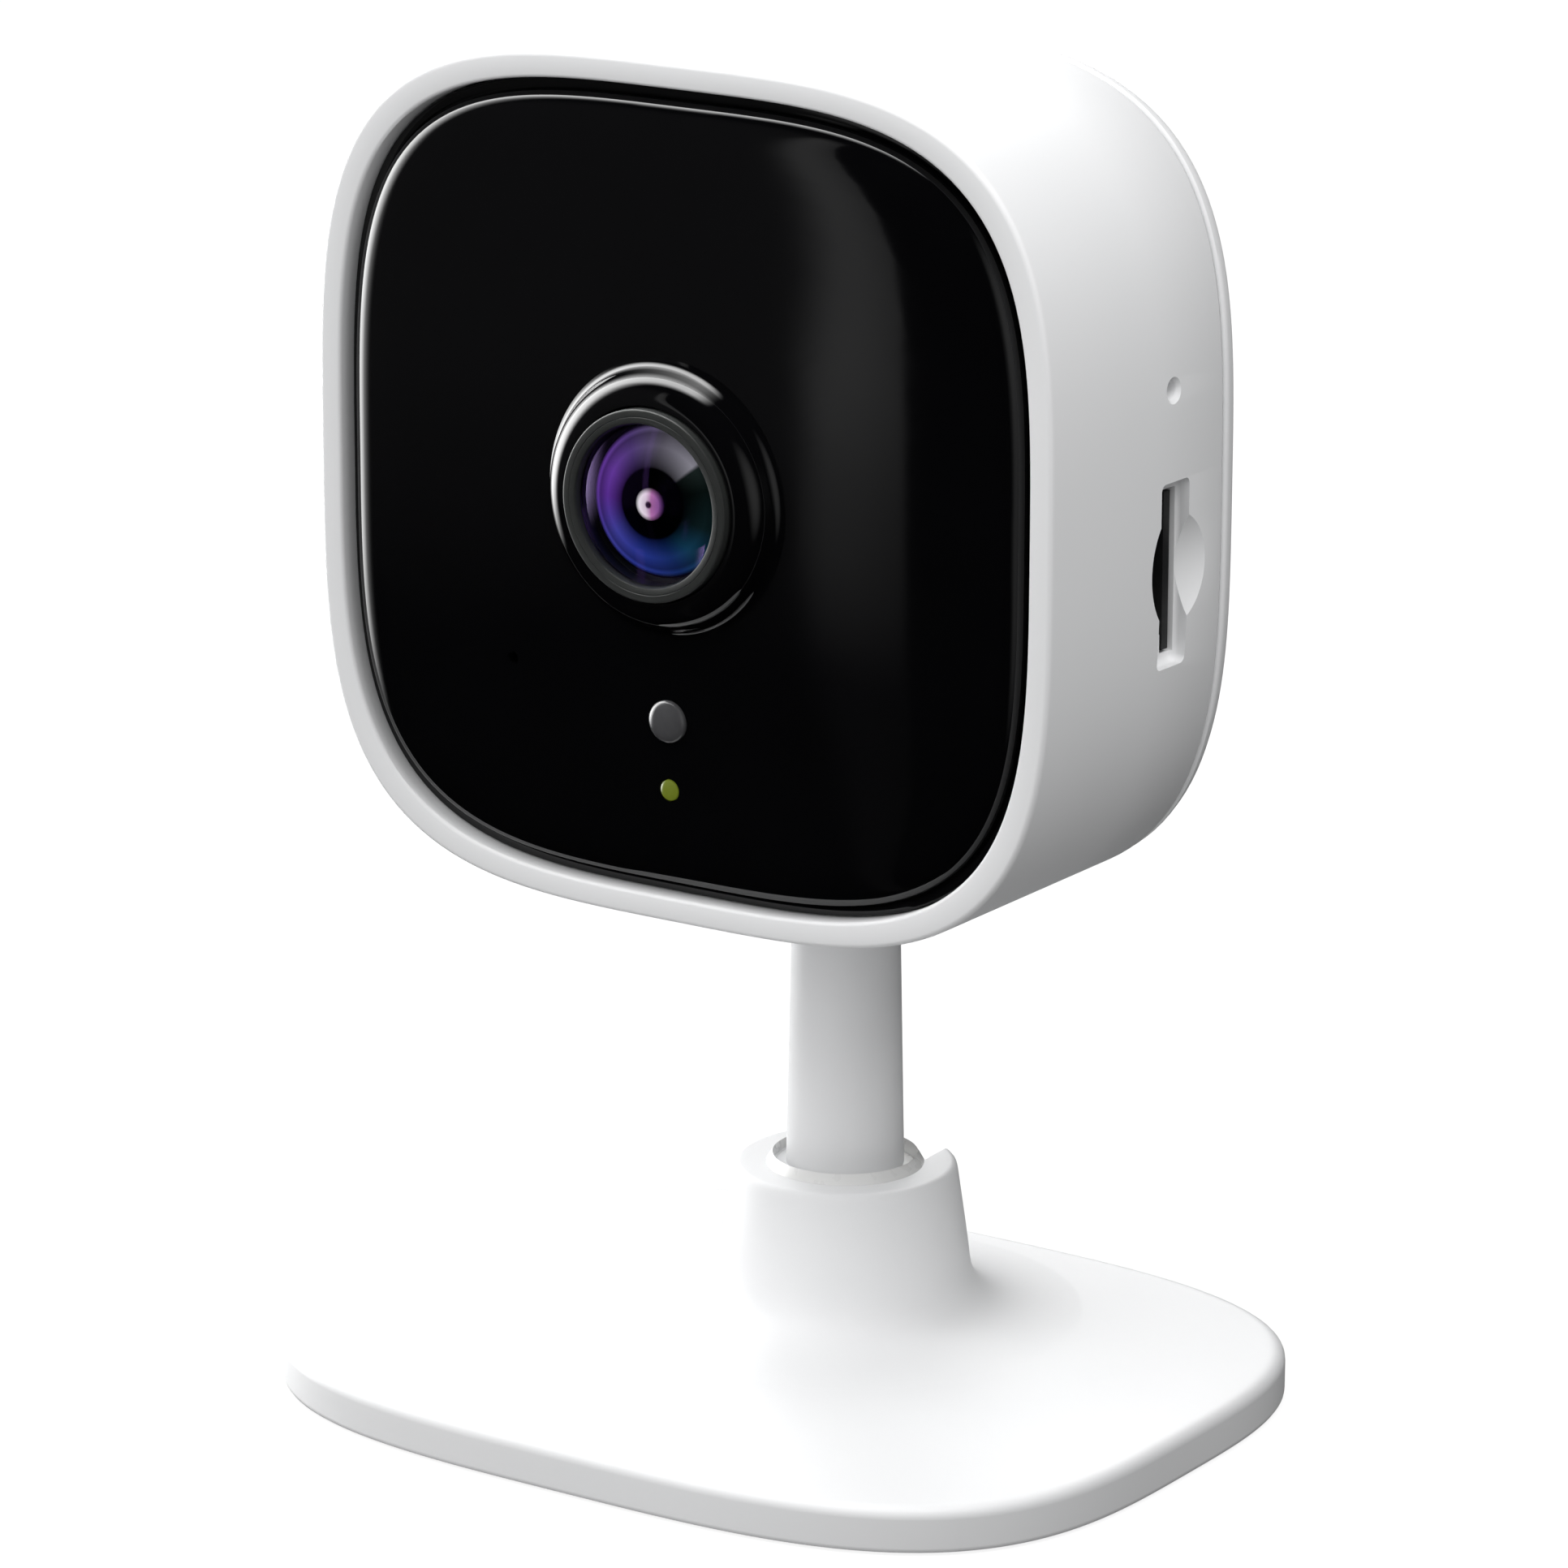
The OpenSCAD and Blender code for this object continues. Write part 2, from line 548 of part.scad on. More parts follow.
module rear_cover() color("whitesmoke") difference() {
    union() {
        difference() {
            hull() {
                for (a = [0, 15, 30, 45, 60, 75, 90])
                    deep(seam_y + seam_gap, seam_y + seam_gap + 0.02 + (rear_round - 0.02) * sin(a))
                        head_outline(0.05 + rear_inset * (1 - cos(a)));
            }
            hull() {
                deep(seam_y, rear_inner_y - 2.55) head_outline(housing_wall);
                deep(seam_y, rear_inner_y - 1.9) head_outline(housing_wall + 0.4);
                deep(seam_y, rear_inner_y - 1.3) head_outline(housing_wall + 1);
                deep(seam_y, rear_inner_y - 0.7) head_outline(housing_wall + 1.8);
                deep(seam_y, rear_inner_y) head_outline(housing_wall + 3.15);
            }
        }
        // lip that snaps into the housing
        difference() {
            union() {
                deep(seam_y - 1.9, seam_y + seam_gap + 1.2) head_outline(housing_wall + fit_gap);
                deep(seam_y + seam_gap, seam_y + seam_gap + 1.2) head_outline(housing_wall / 2);
            }
            deep(seam_y - 3, seam_y + seam_gap + 3) head_outline(housing_wall + 1);
            box([pocket_floor_x - 2, head_w], [0, seam_y + seam_gap / 2],
                span(head_z, pocket_low - 2, pocket_low + pocket_h + 2));
            box([-bracket_w / 2 - 0.5, bracket_w / 2 + 0.5], [0, seam_y + seam_gap / 2],
                [head_bottom_z, head_z - head_h / 4]);
            box([-bracket_w / 2 - 0.5, bracket_w / 2 + 0.5], [0, rear_y],
                [bracket_z - 0.2, head_z - head_h / 4]);
        }
    }
    on_joint() cylinder(r = stem_hole_r, h = head_bottom_z + 5);
    rod_y(jack_hole_r, seam_y, rear_y + 5, 0, head_z + jack_rise);
    // speaker grille: rings of round holes
    rod_y(0.75, seam_y, rear_y + 5, 0, head_z + speaker_rise);
    for (ring = [1 : 3], i = [0 : 6 * ring - 1]) {
        a = i * 60 / ring;
        rod_y(0.75, seam_y, rear_y + 5, 2.2 * ring * cos(a), head_z + speaker_rise + 2.2 * ring * sin(a));
    }
}

// ---- head: lens and image sensor ----

module lens_barrel() color("#202022") facing() rotate_extrude() polygon([
    [6.2, barrel_front], [barrel_r - 0.15, barrel_front], [barrel_r, barrel_front - 0.15],
    [barrel_r, 10.2], [thread_r, 10.2], [thread_r, 4.8], [3.2, 4.8], [3.2, 6.6], [3.75, 6.6],
    [3.75, 10.4], [lens_bore_r, 10.4], [lens_bore_r, barrel_front - 1.7],
    [glass_r + 0.08, barrel_front - 1.7],
    [glass_r + 0.08, barrel_front - 0.75], [6.2, barrel_front - 0.75]
]);

module lens_ring() color("#3a3a3c") facing() rotate_extrude() polygon([
    [glass_r + 0.1, barrel_front - 0.75], [6.12, barrel_front - 0.75],
    [6.12, barrel_front + 0.02], [glass_r + 0.35, barrel_front + 0.02], [glass_r + 0.1, barrel_front - 0.15]
]);

module front_lens() color("midnightblue") facing() rotate_extrude() polygon(concat(
    [for (i = [0 : 6]) [glass_r * i / 6, barrel_front + 0.45 - 0.95 * pow(i / 6, 2)]],
    [[glass_r, barrel_front - 1.7]],
    [for (i = [6 : -1 : 0]) [(lens_bore_r - 0.2) * i / 6, barrel_front - 1.7 + 0.9 * (1 - pow(i / 6, 2))]]
));

module lens_mask() color("black") facing() rotate_extrude() polygon([
    [1.5, barrel_front - 4.4], [lens_bore_r, barrel_front - 4.4],
    [lens_bore_r, barrel_front - 3.6], [1.9, barrel_front - 4.1]
]);

module inner_lens() color("slateblue") facing() rotate_extrude() polygon(concat(
    [for (i = [0 : 5]) [3.75 * i / 5, 10.3 - 1.1 * pow(i / 5, 2)]],
    [for (i = [5 : -1 : 0]) [3.75 * i / 5, 7.0 + 1.0 * pow(i / 5, 2)]]
));

module lens_holder() color("#2a2a2a") difference() {
    union() {
        box([-8.5, 8.5], [-4.4, board_y], span(lens_z, -8.5, 8.5));
        rod_y(7.9, -9.4, -4.4, 0, lens_z);
    }
    rod_y(thread_r, -12, -4.4, 0, lens_z);
    rod_y(3.6, -12, 0, 0, lens_z);
    box([-6.6, 6.6], [-3.3, board_y + 1], span(lens_z, -5, 5));
}

module filter_coil() color("#b87333") {
    translate([10.8, -2.9, lens_z - 5]) cylinder(r = 1.9, h = 10);
    box([8.5, 13], [-4.4, -1.2], span(lens_z, -6.2, -5));
    box([8.5, 13], [-4.4, -1.2], span(lens_z, 5, 6.2));
}

module ir_cut_filter() color("lightcoral")
    box([-6.1, 6.1 - filter_travel - 0.4], [-2.9, -2.3], span(lens_z, -4.5, 4.5));

module image_sensor() color("darkslategray") box([-4, 4], [board_y - 1, board_y], span(lens_z, -4, 4));

// ---- head: light board ----

module led_board() color("darkgreen") difference() {
    deep(led_board_y, led_board_y + led_board_t, head_z)
        squircle(2 * led_board_half_w, 2 * led_board_half_h, head_squareness);
    rod_y(8.4, led_board_y - 1, led_board_y + 2, 0, lens_z);
    head_corners() rod_y(boss_r + 0.4, led_board_y - 1, led_board_y + 2, 0, 0);
    for (sx = [-1, 1]) rod_y(0.9, led_board_y - 1, led_board_y + 2, sx * led_screw_x, head_z);
}

module led_board_screws() color("gray") for (sx = [-1, 1]) {
    rod_y(1.5, led_board_y - 1, led_board_y, sx * led_screw_x, head_z);
    rod_y(0.65, led_board_y - 1, led_board_y + led_board_t + 2.8, sx * led_screw_x, head_z);
}

module ir_leds() color("lightblue") for (sx = [-1, 1], a = [-35, 35, 65])
    rod_y(1.5, led_board_y - 1.6, led_board_y, sx * 14.5 * cos(a), lens_z + 14.5 * sin(a));

module light_sensor() color("khaki")
    box([-1, 1], [led_board_y - 0.9, led_board_y], span(lens_z - window_drop, -1, 1));

module status_led() color("lime")
    box([-0.8, 0.8], [led_board_y - 0.8, led_board_y], span(lens_z - led_drop, -0.6, 0.6));

module microphone() color("silver")
    box(span(-mic_offset, -1.5, 1.5), [led_board_y - 1, led_board_y], span(lens_z - mic_offset, -2, 2));

// ---- head: main board ----

module main_board() color("green") difference() {
    deep(board_y, board_back_y) squircle(2 * board_half_w, 2 * board_half_h, head_squareness);
    head_corners() rod_y(1.1, board_y - 1, board_back_y + 1, 0, 0);
    box([-bracket_screw_x - 3.2, bracket_screw_x + 3.2], [board_y - 1, board_back_y + 1],
        [head_bottom_z, bracket_screw_z + 2.6]);
}

module board_screws() color("gray") head_corners() {
    rod_y(1.7, board_back_y, board_back_y + 1.2, 0, 0);
    rod_y(0.75, board_y - 4.8, board_back_y + 1.2, 0, 0);
}

module soc_shield() color("silver") box([-17, -1], [board_back_y, board_back_y + 1.6], span(head_z, -4, 11));

module thermal_pad() color("lightgray")
    box([-15, -3], [board_back_y + 1.6, board_back_y + 2.4], span(head_z, -2, -0.2));

module card_socket() color("silver") difference() {
    box([socket_in_x - 0.4, socket_out_x], [board_back_y, card_y + 0.9], span(head_z + card_rise, -7, 7));
    box([socket_in_x, head_w], [card_y - card_t / 2 - 0.05, card_y + card_t / 2 + 0.05],
        span(head_z + card_rise, -card_w / 2 - 0.1, card_w / 2 + 0.1));
}

module memory_card() color("#181818")
    translate([card_out_x - card_len, card_y + card_t / 2, head_z + card_rise]) rotate([90, 0, 0])
    linear_extrude(card_t) polygon([
        [0, -4.4], [0, 5.2], [0.3, card_w / 2], [card_len, card_w / 2], [card_len, -card_w / 2],
        [6.4, -card_w / 2], [5.4, -4.4]
    ]);

module reset_switch() color("silver") difference() {
    box([switch_out_x - 3.6, switch_out_x], [board_back_y, board_back_y + 2],
        span(head_z + reset_rise, -2.2, 2.2));
    rod_x(button_r + 0.05, switch_out_x - 1.6, switch_out_x + 1, reset_y, head_z + reset_rise);
}

module reset_button() color("#303030")
    rod_x(button_r, switch_out_x - 1.2, switch_out_x + 1.2, reset_y, head_z + reset_rise);

module power_jack() color("#181818") difference() {
    box([-jack_w / 2, jack_w / 2], [board_back_y, jack_face_y],
        span(head_z + jack_rise, -jack_h / 2, jack_h / 2));
    rod_y(jack_bore_r, board_back_y + 1.5, rear_y, 0, head_z + jack_rise);
}

module jack_pin() color("silver") rod_y(0.6, board_back_y + 1.5, jack_face_y - 1, 0, head_z + jack_rise);

module ribbon_cable() color("white")
    box([-5, 5], [led_board_y + led_board_t + 0.5, board_y - 0.5], span(head_z, -17.4, -17.2));

module ribbon_connectors() color("ivory") difference() {
    union() {
        box([-6, 6], [led_board_y + led_board_t, led_board_y + led_board_t + 1.6], span(head_z, -18.6, -16));
        box([-6, 6], [board_y - 1.6, board_y], span(head_z, -18.6, -16));
    }
    box([-5, 5], [led_board_y + led_board_t + 0.5, board_y - 0.5], span(head_z, -17.4, -17.2));
}

module speaker() color("#282828") facing(0, head_z + speaker_rise) rotate_extrude() polygon([
    [0, -speaker_back_y], [speaker_r, -speaker_back_y], [speaker_r, -speaker_back_y + 1.8],
    [speaker_r - 3, -speaker_back_y + speaker_t], [0, -speaker_back_y + speaker_t]
]);

module speaker_gasket() color("#404040")
    rod_y_ring(speaker_r - 0.2, speaker_r - 1.8, speaker_back_y, rear_inner_y);

// Flat ring facing the rear behind the speaker
module rod_y_ring(outer, inner, front, back) difference() {
    rod_y(outer, front, back, 0, head_z + speaker_rise);
    rod_y(inner, front - 1, back + 1, 0, head_z + speaker_rise);
}

module wifi_antenna() color("goldenrod")
    box([-8, 8], [-5, 5], span(head_z + head_h / 2 - housing_wall, -0.42, -0.12));

base_shell();
base_pad();
base_cover();
ballast_plate();
base_cover_screws();
ball_cup();
disc_spring();
cup_retainer();
retainer_screws();
swivel_ball();
stem();
spindle();
spindle_washer();
spindle_screw();
stem_pin();
stem_bracket();
bracket_screws();
front_housing();
front_panel();
panel_tape();
sensor_window();
led_light_pipe();
mic_boot();
led_board();
led_board_screws();
ir_leds();
light_sensor();
status_led();
microphone();
lens_barrel();
lens_ring();
front_lens();
lens_mask();
inner_lens();
lens_holder();
filter_coil();
ir_cut_filter();
image_sensor();
main_board();
board_screws();
soc_shield();
thermal_pad();
card_socket();
memory_card();
reset_switch();
reset_button();
power_jack();
jack_pin();
ribbon_cable();
ribbon_connectors();
speaker();
speaker_gasket();
wifi_antenna();
rear_cover();
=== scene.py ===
import json
from math import atan2, cos, pi, radians, sin, sqrt

import bpy
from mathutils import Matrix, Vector

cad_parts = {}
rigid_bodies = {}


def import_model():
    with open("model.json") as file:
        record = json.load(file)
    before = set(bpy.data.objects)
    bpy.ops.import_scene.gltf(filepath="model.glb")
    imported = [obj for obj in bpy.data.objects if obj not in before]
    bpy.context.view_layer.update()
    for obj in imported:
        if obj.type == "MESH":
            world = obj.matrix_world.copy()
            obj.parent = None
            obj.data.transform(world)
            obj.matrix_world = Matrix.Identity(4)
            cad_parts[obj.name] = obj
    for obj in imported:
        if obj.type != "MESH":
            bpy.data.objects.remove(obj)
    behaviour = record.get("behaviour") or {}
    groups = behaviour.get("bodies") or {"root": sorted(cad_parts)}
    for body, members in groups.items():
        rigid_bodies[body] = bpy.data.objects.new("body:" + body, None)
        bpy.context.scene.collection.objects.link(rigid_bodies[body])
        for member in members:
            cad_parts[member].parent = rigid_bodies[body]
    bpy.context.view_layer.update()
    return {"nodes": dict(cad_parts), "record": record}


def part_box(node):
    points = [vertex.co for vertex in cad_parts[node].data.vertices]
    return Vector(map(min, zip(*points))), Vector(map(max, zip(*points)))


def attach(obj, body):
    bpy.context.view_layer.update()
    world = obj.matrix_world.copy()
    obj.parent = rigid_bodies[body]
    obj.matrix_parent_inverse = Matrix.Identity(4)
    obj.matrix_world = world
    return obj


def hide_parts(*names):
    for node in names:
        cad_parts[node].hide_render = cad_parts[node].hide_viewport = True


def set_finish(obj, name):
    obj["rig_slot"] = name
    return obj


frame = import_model()

MM = 0.001
AROUND = 240
HEAD_SQUARENESS = 3.57
BASE_SQUARENESS = 3.3


# ---- sizes, in millimetres, from the frame ----

def limits(node):
    """Lowest and highest corner of a CAD node."""
    low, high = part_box(node)
    return low / MM, high / MM


housing_low, housing_high = limits("front_housing")
cover_low, cover_high = limits("rear_cover")
panel_low, panel_high = limits("front_panel")
shell_low, shell_high = limits("base_shell")
pad_low, pad_high = limits("base_pad")
ball_low, ball_high = limits("swivel_ball")
stem_low, stem_high = limits("stem")
barrel_low, barrel_high = limits("lens_barrel")
glass_low, glass_high = limits("front_lens")
ring_low, ring_high = limits("lens_ring")
window_low, window_high = limits("sensor_window")
pipe_low, pipe_high = limits("led_light_pipe")
card_low, card_high = limits("memory_card")
button_low, button_high = limits("reset_button")
jack_low, jack_high = limits("power_jack")
speaker_low, speaker_high = limits("speaker")

head_half_w = housing_high.x
head_half_h = (housing_high.z - housing_low.z) / 2
head_z = (housing_high.z + housing_low.z) / 2
front_y = housing_low.y
seam_y = housing_high.y
rear_y = cover_high.y
lens_z = (barrel_low.z + barrel_high.z) / 2
joint_y = (stem_low.y + stem_high.y) / 2
ball_r = ball_high.x
joint_z = ball_low.z + ball_r
rim_z = shell_high.z
pocket_z = (card_low.z + card_high.z) / 2
slot_y = (card_low.y + card_high.y) / 2
pocket_y = slot_y - 0.9
reset_z = (button_low.z + button_high.z) / 2
reset_y = (button_low.y + button_high.y) / 2
jack_z = (jack_low.z + jack_high.z) / 2
speaker_z = (speaker_low.z + speaker_high.z) / 2


# ---- modelling ----

def deselect():
    bpy.ops.object.select_all(action="DESELECT")


def pick(piece):
    """Makes one piece the selected and active one."""
    deselect()
    piece.select_set(True)
    bpy.context.view_layer.objects.active = piece


def skin(name, along, middle, squareness, rings, around=AROUND, open_middle=False):
    """Draws an outline once and extrudes it from ring to ring. A ring is its depth and its two half sizes.
    A solid skin ends in flat faces; with an open middle the last ring is bridged to the first."""
    deselect()
    fill = "NOTHING" if open_middle else "NGON"
    bpy.ops.mesh.primitive_circle_add(vertices=around, radius=1, fill_type=fill)
    piece = bpy.context.object
    piece.name = name
    depth, half_u, half_v = rings[0]
    for corner in piece.data.vertices:
        turn = atan2(corner.co.y, corner.co.x)
        across, up = abs(cos(turn) / half_u), abs(sin(turn) / half_v)
        reach = (across ** squareness + up ** squareness) ** (-1 / squareness)
        u, v = middle[0] + reach * cos(turn), middle[1] + reach * sin(turn)
        corner.co = Vector((u, depth, v) if along == "Y" else (u, v, depth)) * MM
    bpy.ops.object.mode_set(mode="EDIT")
    bpy.ops.mesh.select_all(action="SELECT")
    for last, ring in zip(rings, rings[1:]):
        step = (ring[0] - last[0]) * MM
        grow_u, grow_v = ring[1] / last[1], ring[2] / last[2]
        move = (0, step, 0) if along == "Y" else (0, 0, step)
        bpy.ops.mesh.extrude_region_move(TRANSFORM_OT_translate={"value": move})
        if (grow_u, grow_v) != (1, 1):
            bpy.ops.transform.resize(value=(grow_u, 1, grow_v) if along == "Y" else (grow_u, grow_v, 1))
    if open_middle:
        bpy.ops.mesh.select_all(action="DESELECT")
        bpy.ops.mesh.select_mode(type="EDGE")
        bpy.ops.mesh.select_non_manifold()
        bpy.ops.mesh.bridge_edge_loops()
    bpy.ops.mesh.select_all(action="SELECT")
    bpy.ops.mesh.normals_make_consistent(inside=False)
    bpy.ops.object.mode_set(mode="OBJECT")
    return piece


def turned(name, along, middle, profile, around=AROUND, open_middle=False):
    """Turned shape: the profile gives depth and radius, ring by ring."""
    return skin(name, along, middle, 2, [(depth, r, r) for depth, r in profile], around, open_middle)


def head_rings(profile):
    """Rings of the head's outline from depths and insets."""
    return [(depth, head_half_w - inset, head_half_h - inset) for depth, inset in profile]


def base_rings(profile):
    """Rings of the base's outline from heights and insets."""
    return [(height, shell_high.x - inset, shell_high.y - inset) for height, inset in profile]


def combine(piece, other, how):
    """Cuts another solid out of a piece or joins it on, and removes the other."""
    pick(piece)
    change = piece.modifiers.new(how, "BOOLEAN")
    change.operation = how
    change.solver = "EXACT"
    change.object = other
    bpy.ops.object.modifier_apply(modifier=change.name)
    bpy.data.objects.remove(other, do_unlink=True)


def smooth(piece, angle=32, weighted=False):
    """Smooth shading up to an angle; weighted keeps large flat faces flat beside small round ones."""
    pick(piece)
    bpy.ops.object.shade_smooth_by_angle(angle=radians(angle))
    if weighted:
        finish = piece.modifiers.new("weighted", "WEIGHTED_NORMAL")
        finish.keep_sharp = True
        finish.weight = 80
        bpy.ops.object.modifier_apply(modifier=finish.name)


def block(name, low, high, corner=0, steps=6):
    """Box between two corners, its long edges rounded where a corner radius is given."""
    deselect()
    middle = (Vector(low) + Vector(high)) / 2 * MM
    bpy.ops.mesh.primitive_cube_add(size=1, location=middle)
    piece = bpy.context.object
    piece.name = name
    bpy.ops.object.mode_set(mode="EDIT")
    bpy.ops.mesh.select_all(action="SELECT")
    bpy.ops.transform.resize(value=(Vector(high) - Vector(low)) * MM)
    bpy.ops.object.mode_set(mode="OBJECT")
    bpy.ops.object.transform_apply(location=True, rotation=True, scale=True)
    if corner:
        for edge in piece.data.edges:
            a, b = (piece.data.vertices[i].co for i in edge.vertices)
            edge.select = abs(a.x - b.x) > 0.1 * MM
        bpy.ops.object.mode_set(mode="EDIT")
        bpy.ops.mesh.bevel(offset=corner * MM, segments=steps, affect="EDGES")
        bpy.ops.object.mode_set(mode="OBJECT")
    return piece


def bar(name, along, middle, low, high, r, around=64, flare=0, flare_at=None):
    """Round bar used as a cutter, with an optional flare at its far end for a softened mouth."""
    profile = [(low, r), (high, r)]
    if flare:
        mouth = flare_at + (flare if high > low else -flare)
        profile = [(low, r), (flare_at, r), (mouth, r + flare), (high, r + flare)]
    return turned(name, along, middle, profile, around)


def stand_for(piece, slot, *nodes):
    """The piece rides where its nodes do, replaces them and takes a material slot."""
    body = next(b for b, members in frame["record"]["behaviour"]["bodies"].items() if nodes[0] in members)
    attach(piece, body)
    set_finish(piece, slot)
    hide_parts(*nodes)


# ---- head ----

def make_housing():
    """Front housing: bezel with round edges, walls, card pocket with a bowl behind the card, reset hole."""
    housing = skin("housing", "Y", (0, head_z), HEAD_SQUARENESS, head_rings([
        (seam_y, 0.3), (seam_y - 0.12, 0.1), (seam_y - 0.35, 0.0), (0, 0), (front_y + 0.45, 0),
        (front_y + 0.3, 0.015), (front_y + 0.17, 0.06), (front_y + 0.07, 0.14), (front_y + 0.02, 0.23),
        (front_y, 0.34), (front_y, 1.5), (front_y + 0.04, 1.62), (front_y + 0.13, 1.71),
        (front_y + 0.28, 1.75),
        (front_y + 3, 1.75), (seam_y, 1.75)]), open_middle=True)
    outside = head_half_w + 3
    floor = head_half_w - 1.2
    front, low, high = pocket_y - 1.8, pocket_z - 6.4, pocket_z + 6.5
    combine(housing, block("pocket", (floor, front, low), (outside, front + 3.6, high), 0.5), "DIFFERENCE")
    thumb = turned("thumb", "Y", (0, 0), [(0, 5.2), (8, 5.2)], 96)
    pick(thumb)
    thumb.rotation_euler = (0, 0, -pi / 2)
    thumb.location = Vector((floor - 2, front + 4.1, pocket_z + 0.4)) * MM
    bpy.ops.object.transform_apply(location=True, rotation=True, scale=True)
    front_half = block("front_half", (floor - 2, front - 2, low), (outside, slot_y, high))
    combine(thumb, front_half, "INTERSECT")
    combine(housing, thumb, "DIFFERENCE")
    deselect()
    bpy.ops.mesh.primitive_uv_sphere_add(
        segments=192, ring_count=128, radius=7 * MM,
        location=Vector((head_half_w + 5.75, pocket_y, pocket_z + 0.3)) * MM)
    bowl = bpy.context.object
    bpy.ops.object.transform_apply(location=True, rotation=True, scale=True)
    combine(bowl, block("rear_half", (10, slot_y, low), (outside, seam_y, high)), "INTERSECT")
    combine(housing, bowl, "DIFFERENCE")
    slit = block("card_slit", (20, slot_y - 0.75, pocket_z - 5.7), (outside, slot_y + 0.75, pocket_z + 5.7))
    combine(housing, slit, "DIFFERENCE")
    hole = turned("pin_hole", "Z", (0, 0), [
        (-8, 0.65), (-0.4, 0.65), (-0.3, 0.68), (0, 0.98), (0.1, 1.1), (2, 3.0)], 64)
    pick(hole)
    hole.rotation_euler = (0, pi / 2, 0)
    hole.location = Vector((head_half_w - 0.05, reset_y, reset_z)) * MM
    bpy.ops.object.transform_apply(location=True, rotation=True, scale=True)
    combine(housing, hole, "DIFFERENCE")
    combine(housing, bar("stem_way", "Z", (0, joint_y), 30, 44, 3.98, 96), "DIFFERENCE")
    smooth(housing)
    stand_for(housing, "white_abs", "front_housing")
    return housing


def make_cover():
    """Rear cover: a shallow bowl with its lip, speaker grille and the hole for the power plug."""
    inner_y = rear_y - 2.3
    depth = rear_y - seam_y - 0.25
    curve = [(seam_y + 0.25 + depth * sin(radians(a)), 0.05 + 9 * (1 - cos(radians(a))))
             for a in range(6, 91, 6)]
    cover = skin("back_cover", "Y", (0, head_z), HEAD_SQUARENESS, head_rings([
        (inner_y, 4.9), (inner_y - 0.7, 3.55), (inner_y - 1.3, 2.95),
        (seam_y + 0.25, 2.75), (seam_y - 1.9, 2.75),
        (seam_y - 1.9, 1.85), (seam_y + 0.35, 1.85), (seam_y + 0.25, 0.32), (seam_y + 0.34, 0.16),
        (seam_y + 0.5, 0.07)] + curve + [(rear_y, 26)]))
    grille = bar("grille", "Y", (0, speaker_z), seam_y, rear_y + 3, 0.75, 20)
    places = [(2.2 * ring * cos(i * pi / (3 * ring)), 2.2 * ring * sin(i * pi / (3 * ring)))
              for ring in (1, 2, 3) for i in range(6 * ring)]
    holes = [grille]
    for x, z in places:
        hole = grille.copy()
        hole.data = grille.data.copy()
        bpy.context.collection.objects.link(hole)
        hole.location = Vector((x, 0, z)) * MM
        holes.append(hole)
    deselect()
    for hole in holes:
        hole.select_set(True)
    bpy.context.view_layer.objects.active = grille
    bpy.ops.object.join()
    bpy.ops.object.transform_apply(location=True, rotation=True, scale=True)
    combine(cover, grille, "DIFFERENCE")
    plug_way = bar("plug_way", "Y", (0, jack_z), seam_y + 1, rear_y + 3, 3.5, 96, 0.35, rear_y - 0.3)
    combine(cover, plug_way, "DIFFERENCE")
    combine(cover, bar("stem_way", "Z", (0, joint_y), 30, 44, 3.98, 96), "DIFFERENCE")
    smooth(cover, 36, weighted=True)
    stand_for(cover, "white_abs", "rear_cover")
    return cover


def make_panel():
    """Front panel: recessed rim, domed face and the raised ring round the lens, polished as one moulding."""
    edge_y, back_y = front_y + 1.4, panel_high.y
    crown_y = front_y - 0.85
    panel = skin("face_panel", "Y", (0, head_z), HEAD_SQUARENESS, head_rings([
        (back_y, 1.85), (edge_y + 0.12, 1.85), (edge_y + 0.03, 1.89), (edge_y, 1.98), (edge_y, 2.42),
        (edge_y + 0.22, 2.46), (edge_y + 0.22, 2.58), (edge_y - 0.1, 2.6), (edge_y - 0.45, 2.63),
        (edge_y - 0.72, 2.72), (edge_y - 0.95, 2.88), (edge_y - 1.14, 3.12), (edge_y - 1.32, 3.48),
        (edge_y - 1.46, 3.92), (edge_y - 1.59, 4.5), (edge_y - 1.7, 5.25), (edge_y - 1.8, 6.25),
        (edge_y - 1.89, 7.6), (edge_y - 1.98, 9.4), (edge_y - 2.06, 11.6), (edge_y - 2.13, 14),
        (edge_y - 2.19, 16.6), (edge_y - 2.23, 19), (crown_y, 21.5), (crown_y, 24)]))
    ring = turned("lens_surround", "Y", (0, lens_z), [
        (crown_y + 0.6, 9.7), (crown_y - 0.04, 9.66), (crown_y - 0.1, 9.5),
        (crown_y - 0.2, 9.3), (crown_y - 0.42, 9.12), (crown_y - 0.7, 8.98), (crown_y - 1.05, 8.85),
        (crown_y - 1.4, 8.69), (crown_y - 1.68, 8.48), (crown_y - 1.9, 8.2), (crown_y - 2.07, 7.88),
        (crown_y - 2.18, 7.58), (crown_y - 2.235, 7.33), (crown_y - 2.25, 7.1), (crown_y - 2.25, 6.9)])
    combine(panel, ring, "UNION")
    behind, before = panel_high.y + 3, crown_y - 6
    combine(panel, bar("lens_way", "Y", (0, lens_z), behind, before, 6.82, 160), "DIFFERENCE")
    window_z = (window_low.z + window_high.z) / 2
    pipe_z = (pipe_low.z + pipe_high.z) / 2
    combine(panel, bar("window_way", "Y", (0, window_z), behind, before, 1.56, 64), "DIFFERENCE")
    combine(panel, bar("light_way", "Y", (0, pipe_z), behind, before, 0.8, 48), "DIFFERENCE")
    combine(panel, bar("sound_way", "Y", (-13, lens_z - 13), behind, before, 0.4, 32), "DIFFERENCE")
    smooth(panel, 30, weighted=True)
    stand_for(panel, "black_gloss", "front_panel")
    return panel


